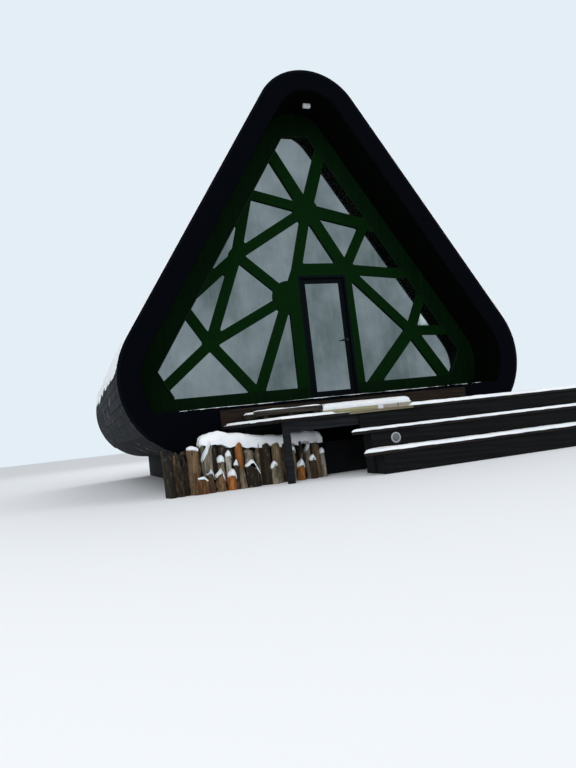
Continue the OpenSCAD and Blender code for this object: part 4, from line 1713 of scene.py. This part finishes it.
@dataclass
class Lamps(Assembly):
    """The lamp under the ridge and the round light on the steps' riser."""

    gable_h: float = 0.070
    gable_x: tuple[float, float] = (0.065, 0.195)
    gable_half: float = 0.030
    gable_ahead: float = 0.02
    gable_ease: float = 0.006
    shade_in: float = 0.008
    shade_ease: float = 0.004
    step_drop: float = 0.105
    step_x: float = 0.190
    rim_r: float = 0.078
    rim_w: float = 0.020
    groove: float = 0.003
    depth: float = 0.012
    faces: int = 48

    def build(self) -> None:
        """Builds both lights as one piece: a white box, and a grey ring round a dull lens."""
        low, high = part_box("lamps")
        mesh = bmesh.new()
        porch_low, porch_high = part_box("lining_ridge")
        middle = (porch_low.y + porch_high.y) / 2 - self.gable_ahead
        near, far = middle - self.gable_half, middle + self.gable_half
        left, right = self.gable_x
        bottom = high.z - self.gable_h
        inset = self.shade_in
        block(mesh, (left, near, bottom + inset), (right, far, high.z), self.gable_ease)
        block(mesh, (left + inset, near + inset, bottom), (right - inset, far - inset, bottom + 2 * inset),
              self.shade_ease)
        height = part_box("upper_tread")[0].z - self.step_drop
        self._step_light(mesh, Vector((self.step_x, low.y, height)))
        self.shop.piece("lamp_pair", mesh, ["lamp", "lens", "ring"], "lamp", replaces=["lamps"])

    def _step_light(self, mesh: BMesh, centre: Vector) -> None:
        """Spins the step light from its profile: lens, groove, domed ring and rim.

        Args:
            mesh: The mesh to add to.
            centre: Middle of the light, at its front.
        """
        lens_r = self.rim_r - 2 * self.rim_w
        ring_r = self.rim_r - self.rim_w
        profile = [(0.0, 0.002), (lens_r * 0.7, 0.003), (lens_r, 0.006), (lens_r + 2 * self.groove, 0.010),
                   (ring_r - self.groove, 0.010), (ring_r, 0.001), (self.rim_r - self.rim_w / 2, 0.0),
                   (self.rim_r - self.groove, 0.002), (self.rim_r, 0.006), (self.rim_r, self.depth),
                   (0.0, self.depth)]
        old = set(mesh.faces)
        verts = [mesh.verts.new((centre.x + radius, centre.y + depth, centre.z)) for radius, depth in profile]
        edges = [mesh.edges.new(pair) for pair in zip(verts, verts[1:])]
        bmesh.ops.spin(mesh, geom=verts + edges, cent=centre, axis=(0, 1, 0), angle=math.tau,
                       steps=self.faces, use_merge=True)
        light = [v for v in mesh.verts if (v.co - centre).xz.length < 2 * self.rim_r]
        bmesh.ops.remove_doubles(mesh, verts=light, dist=1e-5)
        for face in set(mesh.faces) - old:
            far = (face.calc_center_median() - centre).xz.length
            face.material_index = 2 if far > ring_r - self.groove else 1


@dataclass
class Studio:
    """Pale floor, soft light and the camera at the photograph's place."""

    image_h: int = 768
    focal_px: float = 620.0
    sensor: float = 36.0
    place: tuple[float, float, float] = (-4.194, -9.072, 0.737)
    yaw: float = 0.346
    pitch: float = 0.075
    roll: float = -0.114
    floor_half: float = 120.0
    ambient: float = 0.72
    lamps: tuple[tuple[str, tuple[float, float, float], float], ...] = (
        ("key", (-9.0, -14.0, 13.0), 1150.0), ("fill", (13.0, -9.0, 9.0), 420.0),
        ("rear", (4.0, 19.0, 13.0), 650.0))
    lamp_size: float = 9.0
    aim: tuple[float, float, float] = (0.0, 3.0, 2.5)

    def build(self) -> None:
        """Sets the camera, the floor, the world and the lamps."""
        scene = bpy.context.scene
        scene.view_settings.view_transform = "Standard"
        self.camera(scene)
        self.floor()
        self.world(scene)
        for name, place, power in self.lamps:
            self.light(name, place, power)

    def camera(self, scene: bpy.types.Scene) -> None:
        """Makes the camera that the photograph's outline was fitted with.

        Args:
            scene: The scene.
        """
        data = bpy.data.cameras.new("camera")
        data.sensor_width = self.sensor
        data.lens = self.focal_px * self.sensor / self.image_h
        ahead = Vector((math.sin(self.yaw) * math.cos(self.pitch), math.cos(self.yaw) * math.cos(self.pitch),
                        math.sin(self.pitch)))
        right = Vector((math.cos(self.yaw), -math.sin(self.yaw), 0.0))
        above = right.cross(ahead)
        side = right * math.cos(self.roll) + above * math.sin(self.roll)
        upward = above * math.cos(self.roll) - right * math.sin(self.roll)
        turned = Matrix((side, upward, -ahead)).transposed().to_4x4()
        made = bpy.data.objects.new("camera", data)
        made.matrix_world = Matrix.Translation(self.place) @ turned
        scene.collection.objects.link(made)
        scene.camera = made

    def floor(self) -> None:
        """Lays the pale floor."""
        mesh = bmesh.new()
        bmesh.ops.create_grid(mesh, x_segments=1, y_segments=1, size=self.floor_half)
        data = bpy.data.meshes.new("floor_plane")
        mesh.to_mesh(data)
        mesh.free()
        graph = Graph("studio_floor")
        data.materials.append(graph.surface(Base_Color=rgb(238, 241, 244), Roughness=0.95,
                                            Specular_IOR_Level=0.0))
        made = bpy.data.objects.new("floor_plane", data)
        bpy.context.scene.collection.objects.link(made)

    def world(self, scene: bpy.types.Scene) -> None:
        """Lights from all round, and shows a pale backdrop to the camera and to what mirrors it.

        Args:
            scene: The scene.
        """
        world = bpy.data.worlds.new("studio_world")
        world.use_nodes = True
        tree = world.node_tree
        tree.nodes.clear()
        path = tree.nodes.new("ShaderNodeLightPath")
        seen = path.outputs["Is Camera Ray"]
        for name in ("Is Glossy Ray", "Is Transmission Ray"):
            both = tree.nodes.new("ShaderNodeMath")
            both.operation = "MAXIMUM"
            tree.links.new(seen, both.inputs[0])
            tree.links.new(path.outputs[name], both.inputs[1])
            seen = both.outputs[0]
        mixed = tree.nodes.new("ShaderNodeMixShader")
        tree.links.new(seen, mixed.inputs[0])
        for socket, colour, strength in ((1, rgb(250, 252, 255), self.ambient), (2, rgb(228, 238, 246), 1.0)):
            light = tree.nodes.new("ShaderNodeBackground")
            light.inputs[0].default_value = colour
            light.inputs[1].default_value = strength
            tree.links.new(light.outputs[0], mixed.inputs[socket])
        end = tree.nodes.new("ShaderNodeOutputWorld")
        tree.links.new(mixed.outputs[0], end.inputs[0])
        scene.world = world

    def light(self, name: str, place: Sequence[float], power: float) -> None:
        """Adds a large soft lamp that faces the middle of the cabin.

        Args:
            name: Name of the lamp.
            place: Where it hangs.
            power: Its power in watts.
        """
        data = bpy.data.lights.new(name, "AREA")
        data.size = self.lamp_size
        data.energy = power
        made = bpy.data.objects.new(name, data)
        way = Vector(self.aim) - Vector(place)
        made.matrix_world = Matrix.Translation(place) @ way.to_track_quat("-Z", "Y").to_matrix().to_4x4()
        bpy.context.scene.collection.objects.link(made)


DRESSED: dict[str, tuple[str, ...]] = {
    "plinth": ("plinth_front", "plinth_back", "plinth_sides"),
    "base": ("base_slab",),
    "shell": ("corner_left", "corner_right", "roof_left", "roof_right", "ridge_curve"),
    "joist": ("floor_joists",),
    "floor": ("floor",),
    "fascia": ("fascia_left", "fascia_right", "fascia_ridge", "fascia_corner_left",
               "fascia_corner_right", "fascia_base"),
    "lining": ("lining_left", "lining_right", "lining_ridge"),
    "surround": ("surround_left", "surround_right", "surround_top"),
    "lattice": ("lattice_left", "lattice_right", "lattice_top"),
    "glass": ("glass_left", "glass_right", "glass_top", "door_glass"),
    "wall": ("back_wall",),
    "door": ("door_frame", "door_leaf"),
    "iron": ("door_hinges", "door_handle"),
    "deck": ("deck",),
    "tread": ("upper_tread", "lower_tread"),
    "riser": ("step_risers",),
    "bearer": ("deck_frame", "stair_bearers"),
    "step": ("door_step",),
    "board": ("riser_board",),
    "log": ("log_row_front", "log_row_back"),
    "lamp": ("lamps",),
}


def main() -> None:
    """Builds the studio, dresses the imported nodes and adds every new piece."""
    logging.basicConfig(level=logging.INFO, format="%(name)s: %(message)s")
    shop = Workshop()
    Studio().build()
    for finish, nodes in DRESSED.items():
        shop.dress(finish, nodes)
    profile = ShellProfile(top=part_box("ridge_curve")[1].z)
    for assembly in (Roof(shop, profile), PorchLining(shop, profile), GlazingBead(shop, profile),
                     RearWall(shop, profile), Terrace(shop), DoorStep(shop), LogPile(shop), Lamps(shop)):
        assembly.build()


if __name__ == "__main__":
    main()
